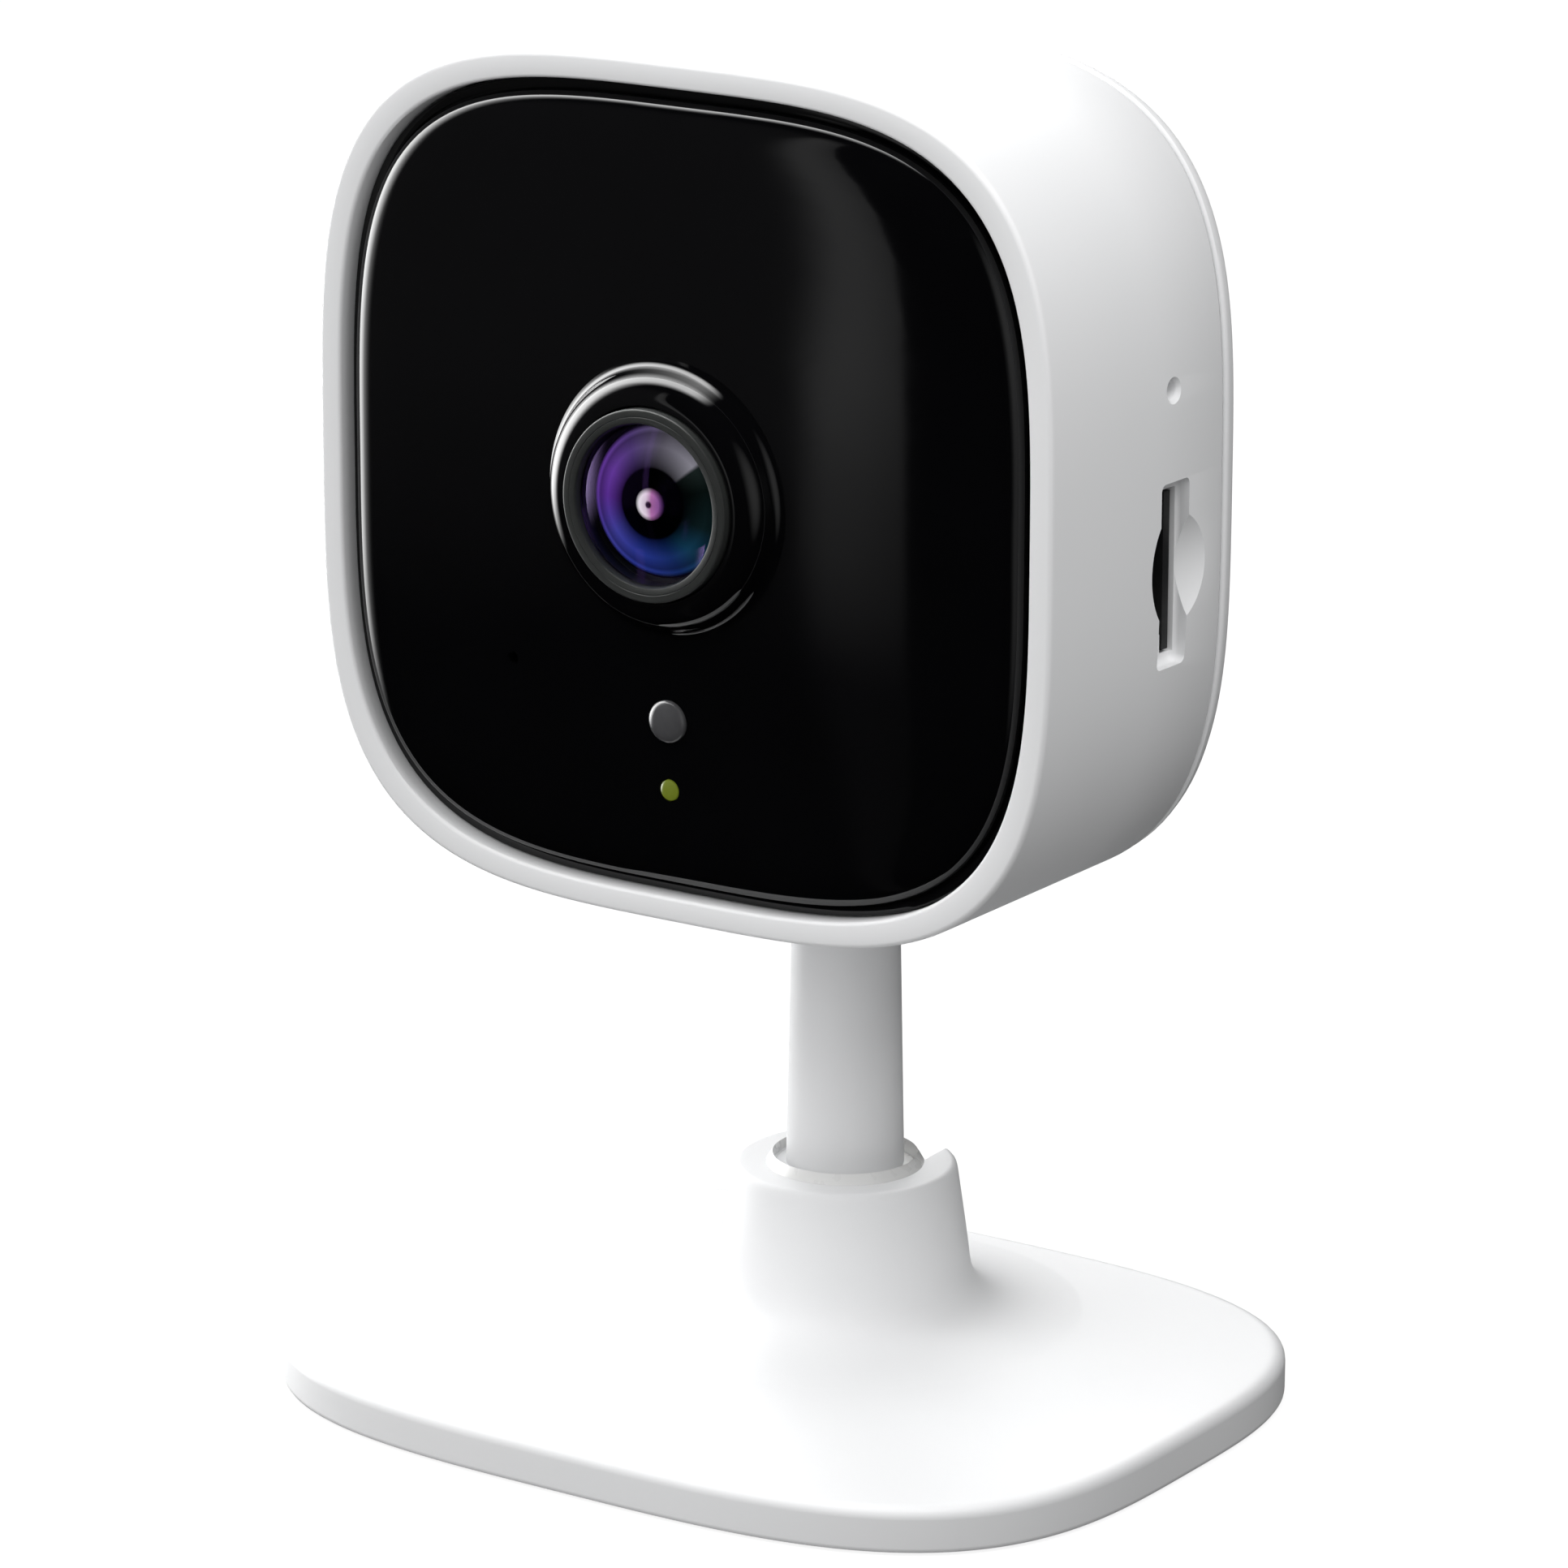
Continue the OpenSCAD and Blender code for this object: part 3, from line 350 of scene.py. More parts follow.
def make_lens():
    """Lens: barrel, front ring, domed front glass and the coated glass behind it."""
    front = barrel_low.y
    barrel = turned("lens_tube", "Y", (0, lens_z), [
        (panel_high.y, 6.65), (front + 0.13, 6.65), (front + 0.05, 6.62), (front + 0.01, 6.57),
        (front, 6.5), (front, 6.15), (front + 0.02, 6.13), (front + 1.6, 6.13), (front + 1.6, 5.55),
        (front + 2.6, 5.3), (front + 2.6, 4.9), (front + 3.2, 4.7), (front + 3.2, 4.3), (front + 3.6, 4.0),
        (front + 3.6, 3.4), (panel_high.y, 3.2)], open_middle=True)
    smooth(barrel)
    stand_for(barrel, "grey_ring", "lens_barrel")
    ring = turned("glass_ring", "Y", (0, lens_z), [
        (front + 1.58, 6.11), (front + 0.02, 6.11), (front, 6.09), (front, 5.74), (front + 0.03, 5.68),
        (front + 0.12, 5.63), (front + 0.3, 5.6), (front + 1.58, 5.58)], open_middle=True)
    smooth(ring)
    stand_for(ring, "grey_ring", "lens_ring")
    apex, edge, r = glass_low.y, glass_low.y + 0.95, 5.5
    curve = (r * r + 0.95 ** 2) / (2 * 0.95)
    dome = [(apex + curve - sqrt(curve ** 2 - (r * k / 16) ** 2), r * k / 16) for k in range(16, 0, -1)]
    glass = turned("front_glass", "Y", (0, lens_z), [(edge + 0.8, r)] + dome + [(apex, 0.08)])
    smooth(glass)
    stand_for(glass, "lens_glass", "front_lens")
    inner_apex, inner_r, inner_curve = edge + 1.0, 4.8, 12
    cap = [(inner_apex + inner_curve - sqrt(inner_curve ** 2 - (inner_r * k / 14) ** 2), inner_r * k / 14)
           for k in range(14, 0, -1)]
    rim = cap[0][0]
    inner = turned("second_glass", "Y", (0, lens_z), [(rim + 0.6, 4.82), (rim + 0.06, 4.82)] + cap
                   + [(inner_apex, 0.08)], 160)
    smooth(inner)
    stand_for(inner, "lens_glass", "inner_lens")
    pupil = turned("pupil_glass", "Y", (0, lens_z), [
        (edge + 1.04, 1.05), (edge + 0.98, 1.05), (edge + 0.9, 0.82), (edge + 0.85, 0.45),
        (edge + 0.83, 0.1)], 64)
    smooth(pupil)
    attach(pupil, "head")
    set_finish(pupil, "lens_glass")
    return barrel, ring, glass, inner, pupil


def make_window_and_light():
    """Small domed sensor window and the end of the status light's pipe."""
    z = (window_low.z + window_high.z) / 2
    front = window_low.y
    window = turned("window_dome", "Y", (0, z), [
        (panel_high.y + 0.7, 2.4), (panel_high.y, 2.4), (panel_high.y, 1.5), (front + 0.42, 1.5),
        (front + 0.32, 1.46), (front + 0.22, 1.36), (front + 0.13, 1.18), (front + 0.06, 0.95),
        (front + 0.02, 0.6), (front, 0.15)], 96)
    smooth(window)
    stand_for(window, "grey_window", "sensor_window")
    z = (pipe_low.z + pipe_high.z) / 2
    front = pipe_low.y
    pipe = turned("light_tip", "Y", (0, z), [
        (pipe_high.y, 1.45), (panel_high.y, 1.45), (panel_high.y, 0.75), (front + 0.2, 0.75),
        (front + 0.1, 0.7), (front + 0.03, 0.55), (front, 0.3), (front, 0.05)], 64)
    smooth(pipe)
    stand_for(pipe, "light_pipe", "led_light_pipe")
    return window, pipe


# ---- stand ----

def make_base():
    """Base: low rounded plate, the collar that grows out of it, the ball's seat and the notch for folding."""
    base = skin("base_body", "Z", (0, 0), BASE_SQUARENESS, base_rings([
        (2.3, 1.7), (shell_low.z + 0.05, 1.7), (shell_low.z, 1.62), (shell_low.z, 0.3),
        (shell_low.z + 0.06, 0.12),
        (shell_low.z + 0.2, 0.03), (shell_low.z + 0.4, 0), (2.55, 0), (2.8, 0.03), (3.0, 0.11), (3.16, 0.24),
        (3.28, 0.41), (3.36, 0.61), (3.395, 0.83), (3.4, 1.05), (3.4, 2.2)]))
    root = ball_r + 2.6
    collar = turned("collar", "Z", (0, joint_y), [
        (2.6, root + 8.9), (3.37, root + 8.9), (3.41, root + 8.1), (3.46, root + 7.2), (3.54, root + 6.2),
        (3.66, root + 5.1), (3.83, root + 4.0), (4.06, root + 3.0), (4.36, root + 2.15), (4.73, root + 1.45),
        (5.2, root + 0.88), (5.78, root + 0.45), (6.5, root + 0.18), (7.4, root + 0.03), (8.4, root - 0.08),
        (10.4, root - 0.36), (rim_z - 0.62, root - 0.87), (rim_z - 0.42, root - 0.91),
        (rim_z - 0.24, root - 0.98), (rim_z - 0.1, root - 1.1), (rim_z - 0.02, root - 1.26),
        (rim_z, root - 1.45), (rim_z - 0.1, root - 3.2)])
    combine(base, collar, "UNION")
    seat = ball_r + 0.05
    bowl = [(joint_z + seat * sin(radians(a)), seat * cos(radians(a))) for a in range(-50, 39, 4)]
    lip = ball_r - 1.45
    seat_cutter = turned("seat", "Z", (0, joint_y), bowl + [
        (rim_z - 0.2, lip), (rim_z - 0.13, lip + 0.03), (rim_z - 0.08, lip + 0.1),
        (rim_z + 2, lip + 0.12)], 192)
    combine(base, seat_cutter, "DIFFERENCE")
    notch = block("notch", (-4.6, joint_y, joint_z), (4.6, joint_y + 14, rim_z + 6))
    combine(notch, bar("notch_floor", "Y", (0, joint_z), joint_y, joint_y + 14, 4.6, 96), "UNION")
    combine(base, notch, "DIFFERENCE")
    smooth(base, 34, weighted=True)
    stand_for(base, "white_abs", "base_shell")
    return base


def make_pad():
    """Rubber pad under the base with its two keyholes."""
    inset = shell_high.x - pad_high.x
    pad = skin("foot_pad", "Z", (0, 0), BASE_SQUARENESS, base_rings([
        (pad_high.z, inset), (pad_low.z + 0.12, inset), (pad_low.z + 0.03, inset + 0.04),
        (pad_low.z, inset + 0.13),
        (pad_low.z, inset + 1.6), (pad_low.z + 0.15, inset + 1.75), (pad_low.z + 0.15, inset + 2.3),
        (pad_low.z, inset + 2.45), (pad_low.z, inset + 8)]))
    for side in (-1, 1):
        combine(pad, bar("entry", "Z", (side * 20, -7), -2, 3, 3.4, 64), "DIFFERENCE")
        combine(pad, bar("slot_end", "Z", (side * 20, -1), -2, 3, 1.8, 48), "DIFFERENCE")
        combine(pad, block("slot_way", (side * 20 - 1.8, -7, -2), (side * 20 + 1.8, -1, 3)), "DIFFERENCE")
    smooth(pad, 34, weighted=True)
    stand_for(pad, "rubber", "base_pad")
    return pad


def make_joint():
    """Ball with its flat top, and the tapered stem that turns on it."""
    top = ball_high.z
    rise = [(joint_z + ball_r * sin(radians(a)), ball_r * cos(radians(a))) for a in range(-88, 36, 3)]
    ball = turned("ball", "Z", (0, joint_y), rise + [
        (top - 0.06, 5.2), (top - 0.02, 5.15), (top, 5.05), (top, 3.6), (top - 0.3, 3.4),
        (top - 0.3, 2.3)], 160)
    smooth(ball)
    stand_for(ball, "white_pom", "swivel_ball")
    foot, neck = 4.25, 3.78
    low = stem_low.z
    post = turned("post", "Z", (0, joint_y), [
        (low, foot - 0.5), (low, foot - 0.28), (low + 0.03, foot - 0.14), (low + 0.12, foot - 0.05),
        (low + 0.28, foot), (housing_low.z, neck), (stem_high.z - 0.4, neck),
        (stem_high.z, neck - 0.4)], 160)
    smooth(post)
    stand_for(post, "white_abs", "stem")
    return ball, post


# ---- materials ----

def shade(hex_colour):
    """sRGB hex to the linear colour that shaders take."""
    parts = [int(hex_colour[i:i + 2], 16) / 255 for i in (1, 3, 5)]
    return [p / 12.92 if p <= 0.04045 else ((p + 0.055) / 1.055) ** 2.4 for p in parts] + [1]


def add(tree, kind, inputs=None, **settings):
    """Adds one node with its settings; an input is given a value, or a socket to link."""
    node = tree.nodes.new("ShaderNode" + kind)
    for name, value in settings.items():
        setattr(node, name, value)
    for name, value in (inputs or {}).items():
        if isinstance(value, bpy.types.NodeSocket):
            tree.links.new(value, node.inputs[name])
        else:
            node.inputs[name].default_value = value
    return node


def start(name, **values):
    """Material with one surface shader; returns it with its tree, shader and object coordinates."""
    material = bpy.data.materials.new(name)
    material.use_nodes = True
    tree = material.node_tree
    tree.nodes.clear()
    surface = add(tree, "BsdfPrincipled")
    for label, value in values.items():
        surface.inputs[label.replace("_", " ")].default_value = value
    out = add(tree, "OutputMaterial", {"Surface": surface.outputs["BSDF"]})
    out.location = (300, 0)
    where = add(tree, "TexCoord").outputs["Object"]
    return material, tree, surface, where


def grain(tree, where, size, detail=2.0):
    """Even noise whose lumps are about size millimetres across."""
    return add(tree, "TexNoise", {"Vector": where, "Scale": 1 / (size * MM), "Detail": detail}).outputs["Fac"]


def between(tree, factor, low, high):
    """Turns a 0 to 1 pattern into a range of values."""
    return add(tree, "MapRange", {"Value": factor, "To Min": low, "To Max": high}).outputs["Result"]


def tint(tree, factor, first, second):
    """Blends two colours by a pattern."""
    mix = add(tree, "Mix", {"Factor": factor}, data_type="RGBA")
    mix.inputs[6].default_value = shade(first)
    mix.inputs[7].default_value = shade(second)
    return mix.outputs[2]


def blend(tree, factor, stops):
    """Colours along a 0 to 1 pattern."""
    ramp = add(tree, "ValToRGB", {"Fac": factor})
    marks = ramp.color_ramp.elements
    marks[0].position, marks[0].color = stops[0][0], shade(stops[0][1])
    marks[1].position, marks[1].color = stops[-1][0], shade(stops[-1][1])
    for place, colour in stops[1:-1]:
        mark = marks.new(place)
        mark.color = shade(colour)
    return ramp.outputs["Color"]


def texture(tree, surface, height, depth, strength=1.0):
    """Raises a pattern by a depth in millimetres."""
    bump = add(tree, "Bump", {"Height": height, "Distance": depth * MM, "Strength": strength})
    tree.links.new(bump.outputs["Normal"], surface.inputs["Normal"])


def moulded_white():
    # ABS, injection moulded in a finely spark-eroded tool: clean white, its satin shine broken very finely
    material, tree, surface, where = start("moulded_white_abs", IOR=1.53, Specular_IOR_Level=0.22)
    tree.links.new(tint(tree, grain(tree, where, 14), "#F0F0F1", "#EDEEEF"), surface.inputs["Base Color"])
    fine = grain(tree, where, 0.22, 3)
    tree.links.new(between(tree, grain(tree, where, 0.6), 0.44, 0.54), surface.inputs["Roughness"])
    texture(tree, surface, fine, 0.006, 0.6)
    return material


def polished_black():
    # PMMA over black, polished tool: deep black mirror with a trace of moulding waviness
    material, tree, surface, where = start("polished_black_acrylic", IOR=1.49)
    tree.links.new(tint(tree, grain(tree, where, 9), "#050506", "#08080A"), surface.inputs["Base Color"])
    tree.links.new(between(tree, grain(tree, where, 3), 0.035, 0.06), surface.inputs["Roughness"])
    texture(tree, surface, grain(tree, where, 7, 1), 0.004, 0.5)
    return material


def matt_black():
    # Black ABS, moulded in an eroded tool: soft dark grey sheen that hides the mechanism
    material, tree, surface, where = start("matt_black_abs", IOR=1.53)
    tree.links.new(tint(tree, grain(tree, where, 2), "#131314", "#1B1B1C"), surface.inputs["Base Color"])
    tree.links.new(between(tree, grain(tree, where, 0.5), 0.5, 0.62), surface.inputs["Roughness"])
    texture(tree, surface, grain(tree, where, 0.25, 3), 0.012, 0.6)
    return material


def grey_anodised():
    # Aluminium lens ring, fine turned and dyed dark grey: satin with faint circles from the lathe
    material, tree, surface, where = start("dyed_anodised_aluminium", Metallic=0.25, IOR=1.5)
    centred = add(tree, "Mapping", {"Vector": where, "Location": (0, 0, -lens_z * MM)}).outputs["Vector"]
    circles = add(tree, "TexWave", {"Vector": centred, "Scale": 1 / (0.35 * MM) / 6.28, "Distortion": 0.2},
                  wave_type="RINGS", rings_direction="Y").outputs["Fac"]
    tree.links.new(tint(tree, grain(tree, where, 0.8), "#2E302F", "#363837"), surface.inputs["Base Color"])
    tree.links.new(between(tree, circles, 0.34, 0.44), surface.inputs["Roughness"])
    texture(tree, surface, circles, 0.003, 0.5)
    return material


def coated_front_glass():
    # Optical glass with an anti-reflection coating: clear, with a violet cast where a light shows in it
    material, tree, surface, where = start(
        "violet_coated_glass", IOR=1.52, Transmission_Weight=1.0, Specular_IOR_Level=0.9, Roughness=0.0,
        Specular_Tint=(0.42, 0.16, 0.95, 1), Base_Color=shade("#F4F2FC"))
    return material


def inner_glass_painted_reflections():
    # Second lens, vacuum coated: a painted reflection, violet on the left, blue to teal below, a grey wedge
    # above, painted highlight rings and a dark centre.
    # The painted reflection is a fixed glow, because the thin layers that colour the real reflection can't be
    # traced
    material, tree, surface, where = start(
        "blue_glass_painted_reflections", Base_Color=shade("#050507"), Emission_Strength=1.0, Specular_IOR_Level=0.3)
    tree.links.new(between(tree, grain(tree, where, 2), 0.05, 0.09), surface.inputs["Roughness"])
    centred = add(tree, "Mapping", {"Vector": where, "Location": (0, 0, -lens_z * MM)}).outputs["Vector"]
    flat = add(tree, "VectorMath", {0: centred, 1: (1, 0, 1)}, operation="MULTIPLY").outputs["Vector"]
    radius = add(tree, "VectorMath", {0: flat}, operation="LENGTH").outputs["Value"]
    share = add(tree, "MapRange", {"Value": radius, "From Min": 0, "From Max": 4.8 * MM}).outputs["Result"]
    sides = add(tree, "SeparateXYZ", {"Vector": centred})
    x, z = sides.outputs["X"], sides.outputs["Z"]
    turn = add(tree, "Math", {0: z, 1: x}, operation="ARCTAN2").outputs["Value"]
    lap = add(tree, "MapRange", {"Value": turn, "From Min": -pi, "From Max": pi}).outputs["Result"]
    # painted reflection colours by angle round the lens axis: violet, blue, teal, and a grey wedge standing
    # for a soft box seen in the glass
    painted_reflection_hues = blend(tree, lap, ((0.0, "#5A2F92"), (0.1, "#41409A"), (0.2, "#25358A"), (0.3, "#142C62"),
                             (0.36, "#123A52"), (0.44, "#0C1C1E"), (0.55, "#08100F"),
                             (0.615, "#1B2422"), (0.625, "#8A8891"),
                             (0.74, "#5A5662"), (0.84, "#523C78"), (0.93, "#663A9C"), (1.0, "#5A2F92")))
    # painted highlight rings near the rim over a dark middle, by radius
    depth = blend(tree, share, ((0.0, "#000000"), (0.47, "#060606"), (0.5, "#777777"), (0.75, "#FFFFFF"),
                                (0.9, "#B8B8B8"), (0.95, "#FFFFFF"), (1.0, "#3A3A3A")))
    glow = add(tree, "Mix", {"Factor": 1.0}, data_type="RGBA", blend_type="MULTIPLY")
    tree.links.new(painted_reflection_hues, glow.inputs[6])
    tree.links.new(depth, glow.inputs[7])
    tree.links.new(glow.outputs[2], surface.inputs["Emission Color"])
    return material


def pupil_painted_glint():
    # Small rear lens, vacuum coated: a painted glint, white turning pink, dark at its middle, also a fixed
    # glow
    material, tree, surface, where = start(
        "pink_glass_painted_glint", Base_Color=shade("#0A0609"), Emission_Strength=1.0)
    tree.links.new(between(tree, grain(tree, where, 0.5), 0.1, 0.2), surface.inputs["Roughness"])
    centred = add(tree, "Mapping", {"Vector": where, "Location": (0, 0, -lens_z * MM)}).outputs["Vector"]
    flat = add(tree, "VectorMath", {0: centred, 1: (1, 0, 1)}, operation="MULTIPLY").outputs["Vector"]
    radius = add(tree, "VectorMath", {0: flat}, operation="LENGTH").outputs["Value"]
    share = add(tree, "MapRange", {"Value": radius, "From Min": 0, "From Max": 1.05 * MM}).outputs["Result"]
    across = add(tree, "SeparateXYZ", {"Vector": centred}).outputs["X"]
    side = add(tree, "MapRange", {
        "Value": across, "From Min": -1.0 * MM, "From Max": 1.0 * MM}).outputs["Result"]
    # painted glint: white on the left, turning pink and violet to the right
    painted_reflection_hues = blend(tree, side, ((0.0, "#F6F2F6"), (0.4, "#E9D6E6"), (0.6, "#B774B0"), (1.0, "#6A3D84")))
    # bright ring of the painted glint round a dark middle, by radius
    depth = blend(tree, share, ((0.0, "#141014"), (0.16, "#3A2C38"), (0.28, "#E8E8E8"), (0.7, "#FFFFFF"),
                                (1.0, "#5A5A5A")))
    glow = add(tree, "Mix", {"Factor": 1.0}, data_type="RGBA", blend_type="MULTIPLY")
    tree.links.new(painted_reflection_hues, glow.inputs[6])
    tree.links.new(depth, glow.inputs[7])
    tree.links.new(glow.outputs[2], surface.inputs["Emission Color"])
    return material


def soft_rubber():
    # Thermoplastic rubber, moulded and left matt: dark grey, slightly dusty, with a pebbled face
    material, tree, surface, where = start("matt_grey_rubber", IOR=1.5)
    tree.links.new(tint(tree, grain(tree, where, 3), "#3A3A3B", "#464647"), surface.inputs["Base Color"])
    tree.links.new(between(tree, grain(tree, where, 0.5), 0.72, 0.86), surface.inputs["Roughness"])
    pebbles = add(tree, "TexVoronoi", {"Vector": where, "Scale": 1 / (0.7 * MM)}).outputs["Distance"]
    texture(tree, surface, pebbles, 0.03, 0.7)
    return material


def acetal_white():
    # POM, machined smooth to slide: milky white with a slippery, waxy shine
    material, tree, surface, where = start(
        "milky_acetal", IOR=1.48, Subsurface_Weight=0.12, Subsurface_Scale=0.6 * MM)
    surface.inputs["Subsurface Radius"].default_value = (1, 1, 1)
    tree.links.new(tint(tree, grain(tree, where, 4), "#E8E8E7", "#E1E1E0"), surface.inputs["Base Color"])
    tree.links.new(between(tree, grain(tree, where, 1), 0.24, 0.32), surface.inputs["Roughness"])
    return material


def bright_steel():
    # Zinc-plated steel, stamped or turned: bright grey with fine draw lines
    material, tree, surface, where = start("plated_steel", Metallic=1.0)
    stretched = add(tree, "Mapping", {"Vector": where, "Scale": (1, 1, 12)}).outputs["Vector"]
    lines = grain(tree, stretched, 0.5, 3)
    tree.links.new(tint(tree, lines, "#A9ABAC", "#BDBFC0"), surface.inputs["Base Color"])
    tree.links.new(between(tree, lines, 0.26, 0.4), surface.inputs["Roughness"])
    texture(tree, surface, lines, 0.004, 0.5)
    return material


def solder_mask():
    # Glass-fibre board under green solder mask: glossy lacquer with the weave just showing
    material, tree, surface, where = start("green_solder_mask", IOR=1.5, Coat_Weight=0.4, Coat_Roughness=0.15)
    weave = add(tree, "TexChecker", {"Vector": where, "Scale": 1 / (0.5 * MM), "Color1": (1, 1, 1, 1),
                                     "Color2": (0, 0, 0, 1)}).outputs["Fac"]
    tree.links.new(tint(tree, weave, "#0B4A24", "#0D5429"), surface.inputs["Base Color"])
    tree.links.new(between(tree, grain(tree, where, 1), 0.3, 0.42), surface.inputs["Roughness"])
    texture(tree, surface, weave, 0.01, 0.3)
    return material


def clear_resin():
    # Clear epoxy of a light-emitting diode: watery body over a pale chip
    material, tree, surface, where = start(
        "clear_epoxy", IOR=1.54, Transmission_Weight=0.8, Base_Color=shade("#D6DEE6"))
    tree.links.new(between(tree, grain(tree, where, 0.5), 0.05, 0.14), surface.inputs["Roughness"])
    return material


def lit_pipe():
    # Polycarbonate light pipe, tinted: yellow-green glow at its polished end
    material, tree, surface, where = start(
        "tinted_light_pipe", IOR=1.58, Base_Color=shade("#5C6620"), Emission_Strength=0.2,
        Emission_Color=shade("#8A9A2A"))
    tree.links.new(between(tree, grain(tree, where, 0.3), 0.15, 0.3), surface.inputs["Roughness"])
    return material


def smoked_window():
    # Smoked polycarbonate, domed and polished: translucent mid grey with a bright edge
    material, tree, surface, where = start("smoked_polycarbonate", IOR=1.58, Transmission_Weight=0.25)
    tree.links.new(tint(tree, grain(tree, where, 1), "#4E4E50", "#5C5C5E"), surface.inputs["Base Color"])
    tree.links.new(between(tree, grain(tree, where, 0.4), 0.16, 0.26), surface.inputs["Roughness"])
    return material


def grey_silicone():
    # Filled silicone pad: dull mid grey, faintly mottled
    material, tree, surface, where = start("filled_silicone", IOR=1.41)
    tree.links.new(tint(tree, grain(tree, where, 1), "#7F8184", "#8B8D90"), surface.inputs["Base Color"])
    tree.links.new(between(tree, grain(tree, where, 0.4), 0.7, 0.85), surface.inputs["Roughness"])
    texture(tree, surface, grain(tree, where, 0.3), 0.02, 0.5)
    return material


def enamelled_copper():
    # Copper wire and foil under clear enamel: warm metal with winding lines
    material, tree, surface, where = start(
        "enamelled_copper", Metallic=1.0, Coat_Weight=0.5, Coat_Roughness=0.1)
    turns = add(tree, "TexWave", {"Vector": where, "Scale": 1 / (0.4 * MM) / 6.28},
                bands_direction="Y").outputs["Fac"]
    tree.links.new(tint(tree, turns, "#9C5A34", "#B9734A"), surface.inputs["Base Color"])
    tree.links.new(between(tree, turns, 0.25, 0.4), surface.inputs["Roughness"])
    texture(tree, surface, turns, 0.03, 0.6)
    return material


def filter_pane():
    # Cut filter glass: thin cyan pane
    material, tree, surface, where = start(
        "cyan_filter_glass", IOR=1.52, Transmission_Weight=0.9, Base_Color=shade("#A9DDE2"))
    tree.links.new(between(tree, grain(tree, where, 2), 0.0, 0.03), surface.inputs["Roughness"])
    return material


def ivory_nylon():
    # Nylon connector body: warm ivory, slightly translucent
    material, tree, surface, where = start("ivory_nylon", IOR=1.53)
    tree.links.new(tint(tree, grain(tree, where, 1.5), "#DED9C6", "#E6E2D2"), surface.inputs["Base Color"])
    tree.links.new(between(tree, grain(tree, where, 0.5), 0.4, 0.52), surface.inputs["Roughness"])
    return material


def ribbon_film():
    # Flat flexible cable: white polyester film with the conductors showing as stripes
    material, tree, surface, where = start("white_polyester_ribbon", IOR=1.57)
    stripes = add(tree, "TexWave", {"Vector": where, "Scale": 1 / (0.5 * MM) / 6.28}).outputs["Fac"]
    tree.links.new(tint(tree, stripes, "#D9DEE4", "#EDF0F3"), surface.inputs["Base Color"])
    tree.links.new(between(tree, stripes, 0.3, 0.4), surface.inputs["Roughness"])
    return material


def dress():
    """Gives every piece and every CAD node its material."""
    by_slot = {
        "white_abs": moulded_white(), "black_gloss": polished_black(), "black_plastic": matt_black(),
        "grey_ring": grey_anodised(), "rubber": soft_rubber(), "white_pom": acetal_white(),
        "steel": bright_steel(), "board_green": solder_mask(), "lens_glass": coated_front_glass(),
        "led_resin": clear_resin(), "light_pipe": lit_pipe(), "grey_window": smoked_window(),
        "silicone_grey": grey_silicone(), "copper": enamelled_copper(), "filter_glass": filter_pane(),
        "ivory_plastic": ivory_nylon(), "ribbon_white": ribbon_film()}
    for node in frame["nodes"].values():
        for place in node.material_slots:
            place.material = by_slot[place.material.name.split(".")[0]]
    own = {"second_glass": inner_glass_painted_reflections(), "pupil_glass": pupil_painted_glint()}
    for piece in bpy.data.objects:
        if piece.type == "MESH" and "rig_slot" in piece:
            piece.data.materials.clear()
            piece.data.materials.append(own.get(piece.name) or by_slot[piece["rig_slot"]])


# ---- studio ----

def aim(thing, target):
    thing.rotation_euler = (Vector(target) - thing.location).to_track_quat("-Z", "Y").to_euler()


def make_camera():
    """Camera at the height and turn from which the front and the right side show."""
    lens = bpy.data.cameras.new("camera")
    lens.sensor_width = 36
    lens.lens = 166.25
    lens.clip_start = 0.01
    lens.clip_end = 20
    camera = bpy.data.objects.new("camera", lens)
    bpy.context.scene.collection.objects.link(camera)
    turn, rise, roll, away = radians(33.984), radians(15.626), radians(0.125), 0.50677
    target = Vector((-0.05, 0, 44.39)) * MM
    camera.location = target + away * Vector((sin(turn) * cos(rise), -cos(turn) * cos(rise), sin(rise)))
    aim(camera, target)
    camera.rotation_euler.rotate_axis("Z", roll)
    bpy.context.scene.camera = camera


def make_floor():
    """Plain white sweep: shows white, and gives back only a little light."""
    deselect()
    bpy.ops.mesh.primitive_plane_add(size=6, location=(0, 0, -0.02 * MM))
    floor = bpy.context.object
    floor.name = "floor"
    material = bpy.data.materials.new("white_sweep")
    material.use_nodes = True
    tree = material.node_tree
    tree.nodes.clear()
    path = add(tree, "LightPath")
    seen = add(tree, "Emission", {"Color": (1, 1, 1, 1), "Strength": 0.82})
    paint = add(tree, "BsdfDiffuse", {"Color": (0.3, 0.3, 0.3, 1)})
    shown = add(tree, "AddShader")
    tree.links.new(seen.outputs[0], shown.inputs[0])
    tree.links.new(paint.outputs[0], shown.inputs[1])
    given = add(tree, "Emission", {"Color": (1, 1, 1, 1), "Strength": 0.22})
    dim = add(tree, "Emission", {"Color": (1, 1, 1, 1), "Strength": 0.0})
    back = add(tree, "MixShader", {"Fac": path.outputs["Is Diffuse Ray"]})
    tree.links.new(dim.outputs[0], back.inputs[1])
    tree.links.new(given.outputs[0], back.inputs[2])
    mix = add(tree, "MixShader", {"Fac": path.outputs["Is Camera Ray"]})
    tree.links.new(back.outputs[0], mix.inputs[1])
    tree.links.new(shown.outputs[0], mix.inputs[2])
    add(tree, "OutputMaterial", {"Surface": mix.outputs[0]})
    floor.data.materials.append(material)
    floor.visible_glossy = False


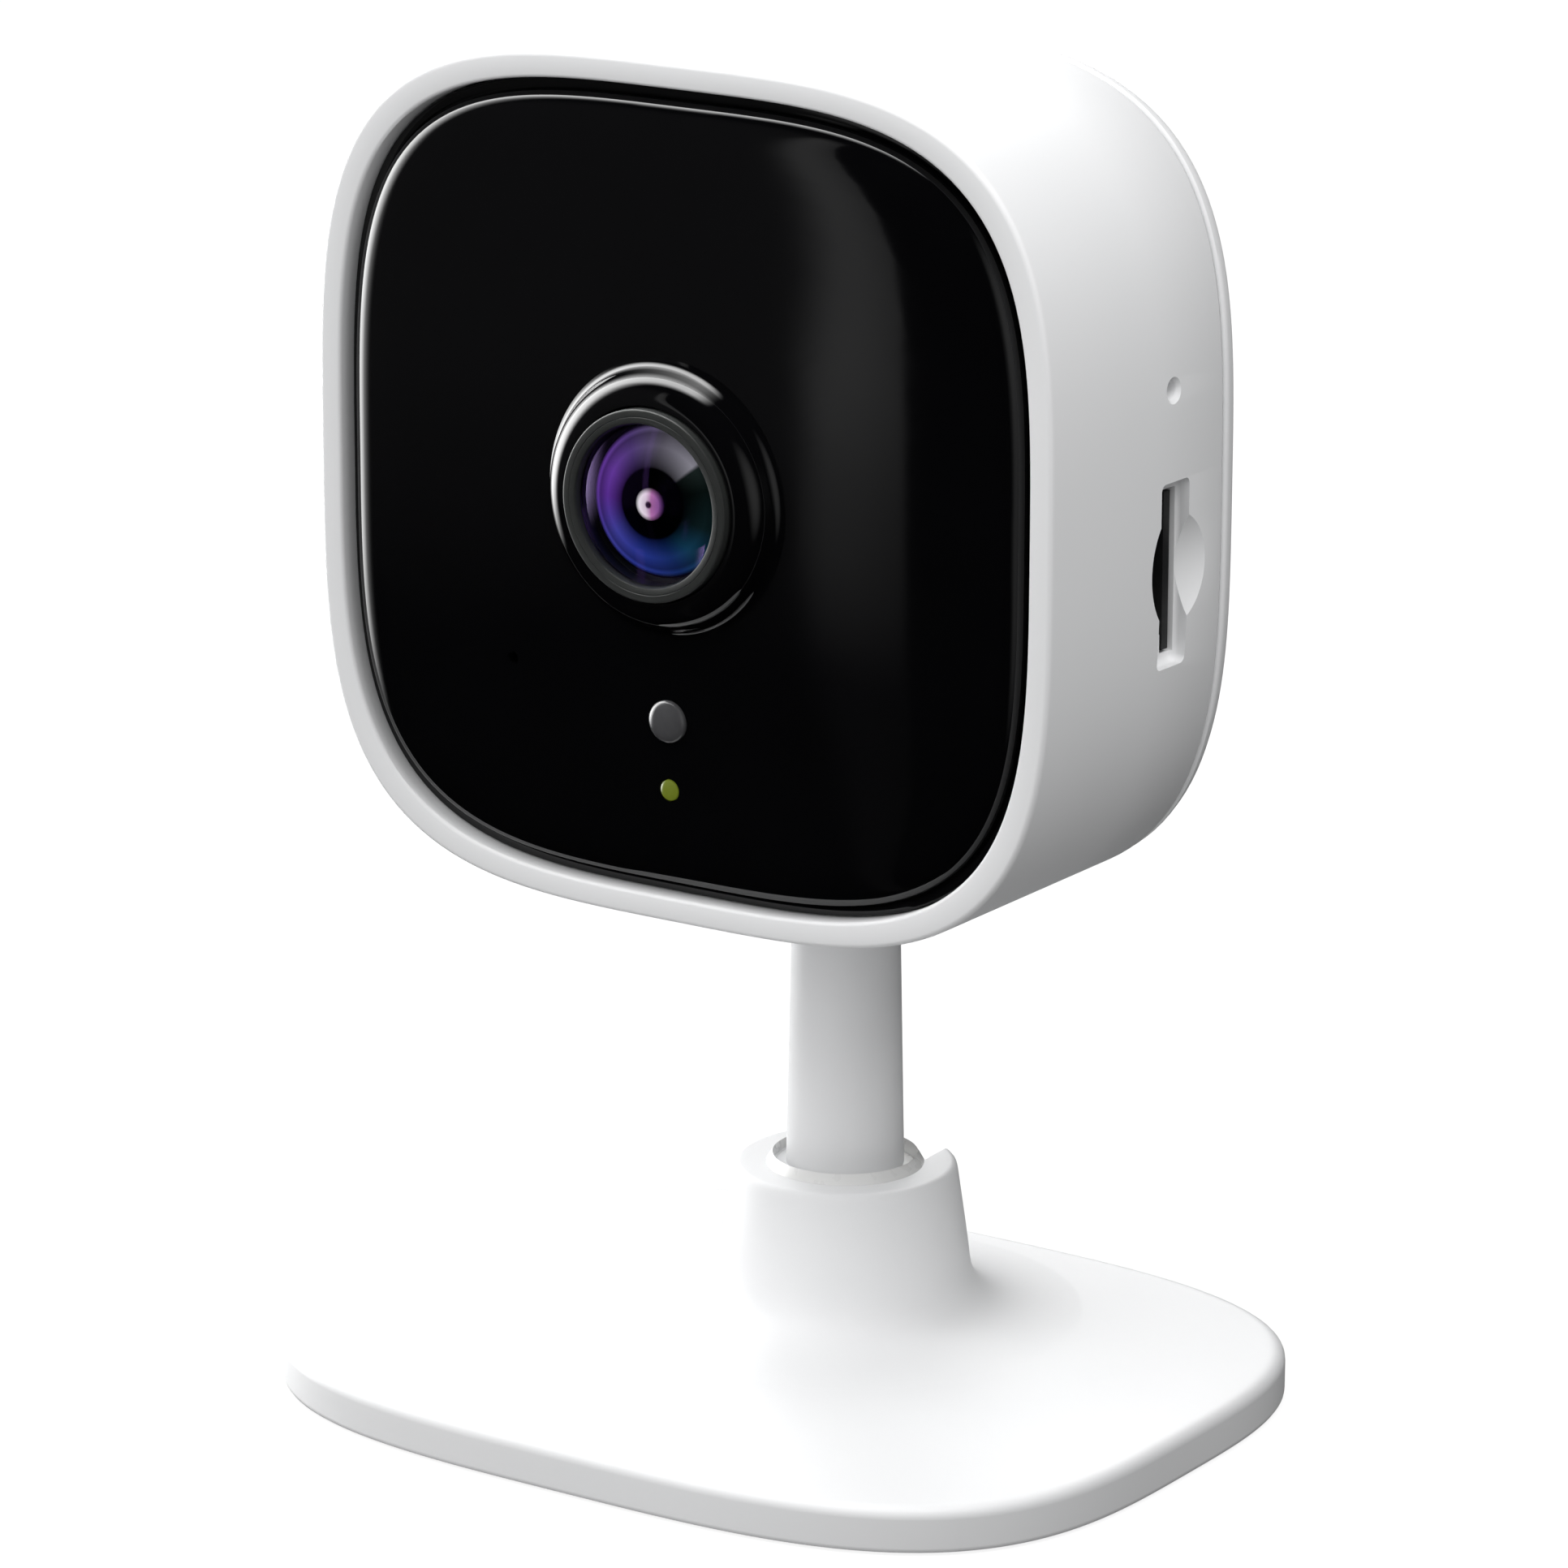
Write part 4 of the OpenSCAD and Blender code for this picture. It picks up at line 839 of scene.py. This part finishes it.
def make_light():
    """Soft room of light: bright above and to the left, weaker on the right, with a tall soft box on the left
    that shows in the gloss and a dim card in front that shows in the flat face. Two area lamps add shade
    and don't show in the gloss."""
    world = bpy.data.worlds.new("studio")
    bpy.context.scene.world = world
    world.use_nodes = True
    tree = world.node_tree
    tree.nodes.clear()
    path = add(tree, "LightPath")
    toward = add(tree, "TexCoord").outputs["Generated"]

    def along(x, y, z):
        return add(tree, "VectorMath", {0: toward, 1: (x, y, z)}, operation="DOT_PRODUCT").outputs["Value"]

    def ramp(value, low, high, start_value, end_value, kind="SMOOTHSTEP"):
        return add(tree, "MapRange", {"Value": value, "From Min": low, "From Max": high, "To Min": start_value,
                                      "To Max": end_value}, interpolation_type=kind).outputs["Result"]

    def maths(how, a, b):
        return add(tree, "Math", {0: a, 1: b}, operation=how).outputs["Value"]

    soft = maths("ADD", along(-0.3, -0.65, 0.3), 0.5)
    depth = along(0.0, 1.0, 0.0)
    box = maths("MULTIPLY", ramp(along(-0.78, 0.052, 0.624), 0.42, 0.7, 0.0, 11.0),
                maths("MULTIPLY", ramp(depth, -0.55, -0.2, 0.0, 1.0), ramp(depth, 0.65, 0.8, 1.0, 0.0)))
    across = along(0.829, -0.559, 0.0)
    card = maths("MULTIPLY", ramp(across, 0.018, 0.045, 0.06, 0.52), ramp(across, 0.05, 0.085, 1.0, 0.7))
    card = maths("MULTIPLY", card, ramp(across, 0.085, 0.087, 1.0, 0.0))
    card = maths("MULTIPLY", card, ramp(along(0.0, 0.0, 1.0), -0.275, -0.195, 0.05, 1.0))
    front = ramp(along(-0.539, -0.799, -0.269), 0.6, 0.8, 0.0, 1.0)
    right = ramp(along(0.75, -0.55, 0.1), 0.75, 0.98, 0.0, 0.6)
    gloss = maths("ADD", maths("ADD", box, maths("MULTIPLY", card, front)), right)
    diffuse = add(tree, "Background", {"Strength": soft})
    shiny = add(tree, "Background", {"Strength": gloss})
    white = add(tree, "Background", {"Strength": 1.0})
    for light in (diffuse, shiny, white):
        light.inputs["Color"].default_value = (1, 1, 1, 1)
    first = add(tree, "MixShader", {"Fac": path.outputs["Is Diffuse Ray"]})
    tree.links.new(shiny.outputs[0], first.inputs[1])
    tree.links.new(diffuse.outputs[0], first.inputs[2])
    last = add(tree, "MixShader", {"Fac": path.outputs["Is Camera Ray"]})
    tree.links.new(first.outputs[0], last.inputs[1])
    tree.links.new(white.outputs[0], last.inputs[2])
    add(tree, "OutputWorld", {"Surface": last.outputs[0]})
    world.cycles.sampling_method = "NONE"
    lamps = (("key", (-350, -250, 450), 300, 0.8), ("fill", (115, -20, 190), 120, 0.13))
    for name, place, size, power in lamps:
        lamp = bpy.data.lights.new(name, "AREA")
        lamp.size = size * MM
        lamp.energy = power
        light = bpy.data.objects.new(name, lamp)
        bpy.context.scene.collection.objects.link(light)
        light.location = Vector(place) * MM
        light.visible_glossy = False
        aim(light, (0, 0, 0.04))


bpy.context.scene.view_settings.view_transform = "Standard"
make_camera()
make_light()
make_floor()
make_housing()
make_cover()
make_panel()
make_lens()
make_window_and_light()
make_base()
make_pad()
make_joint()
dress()
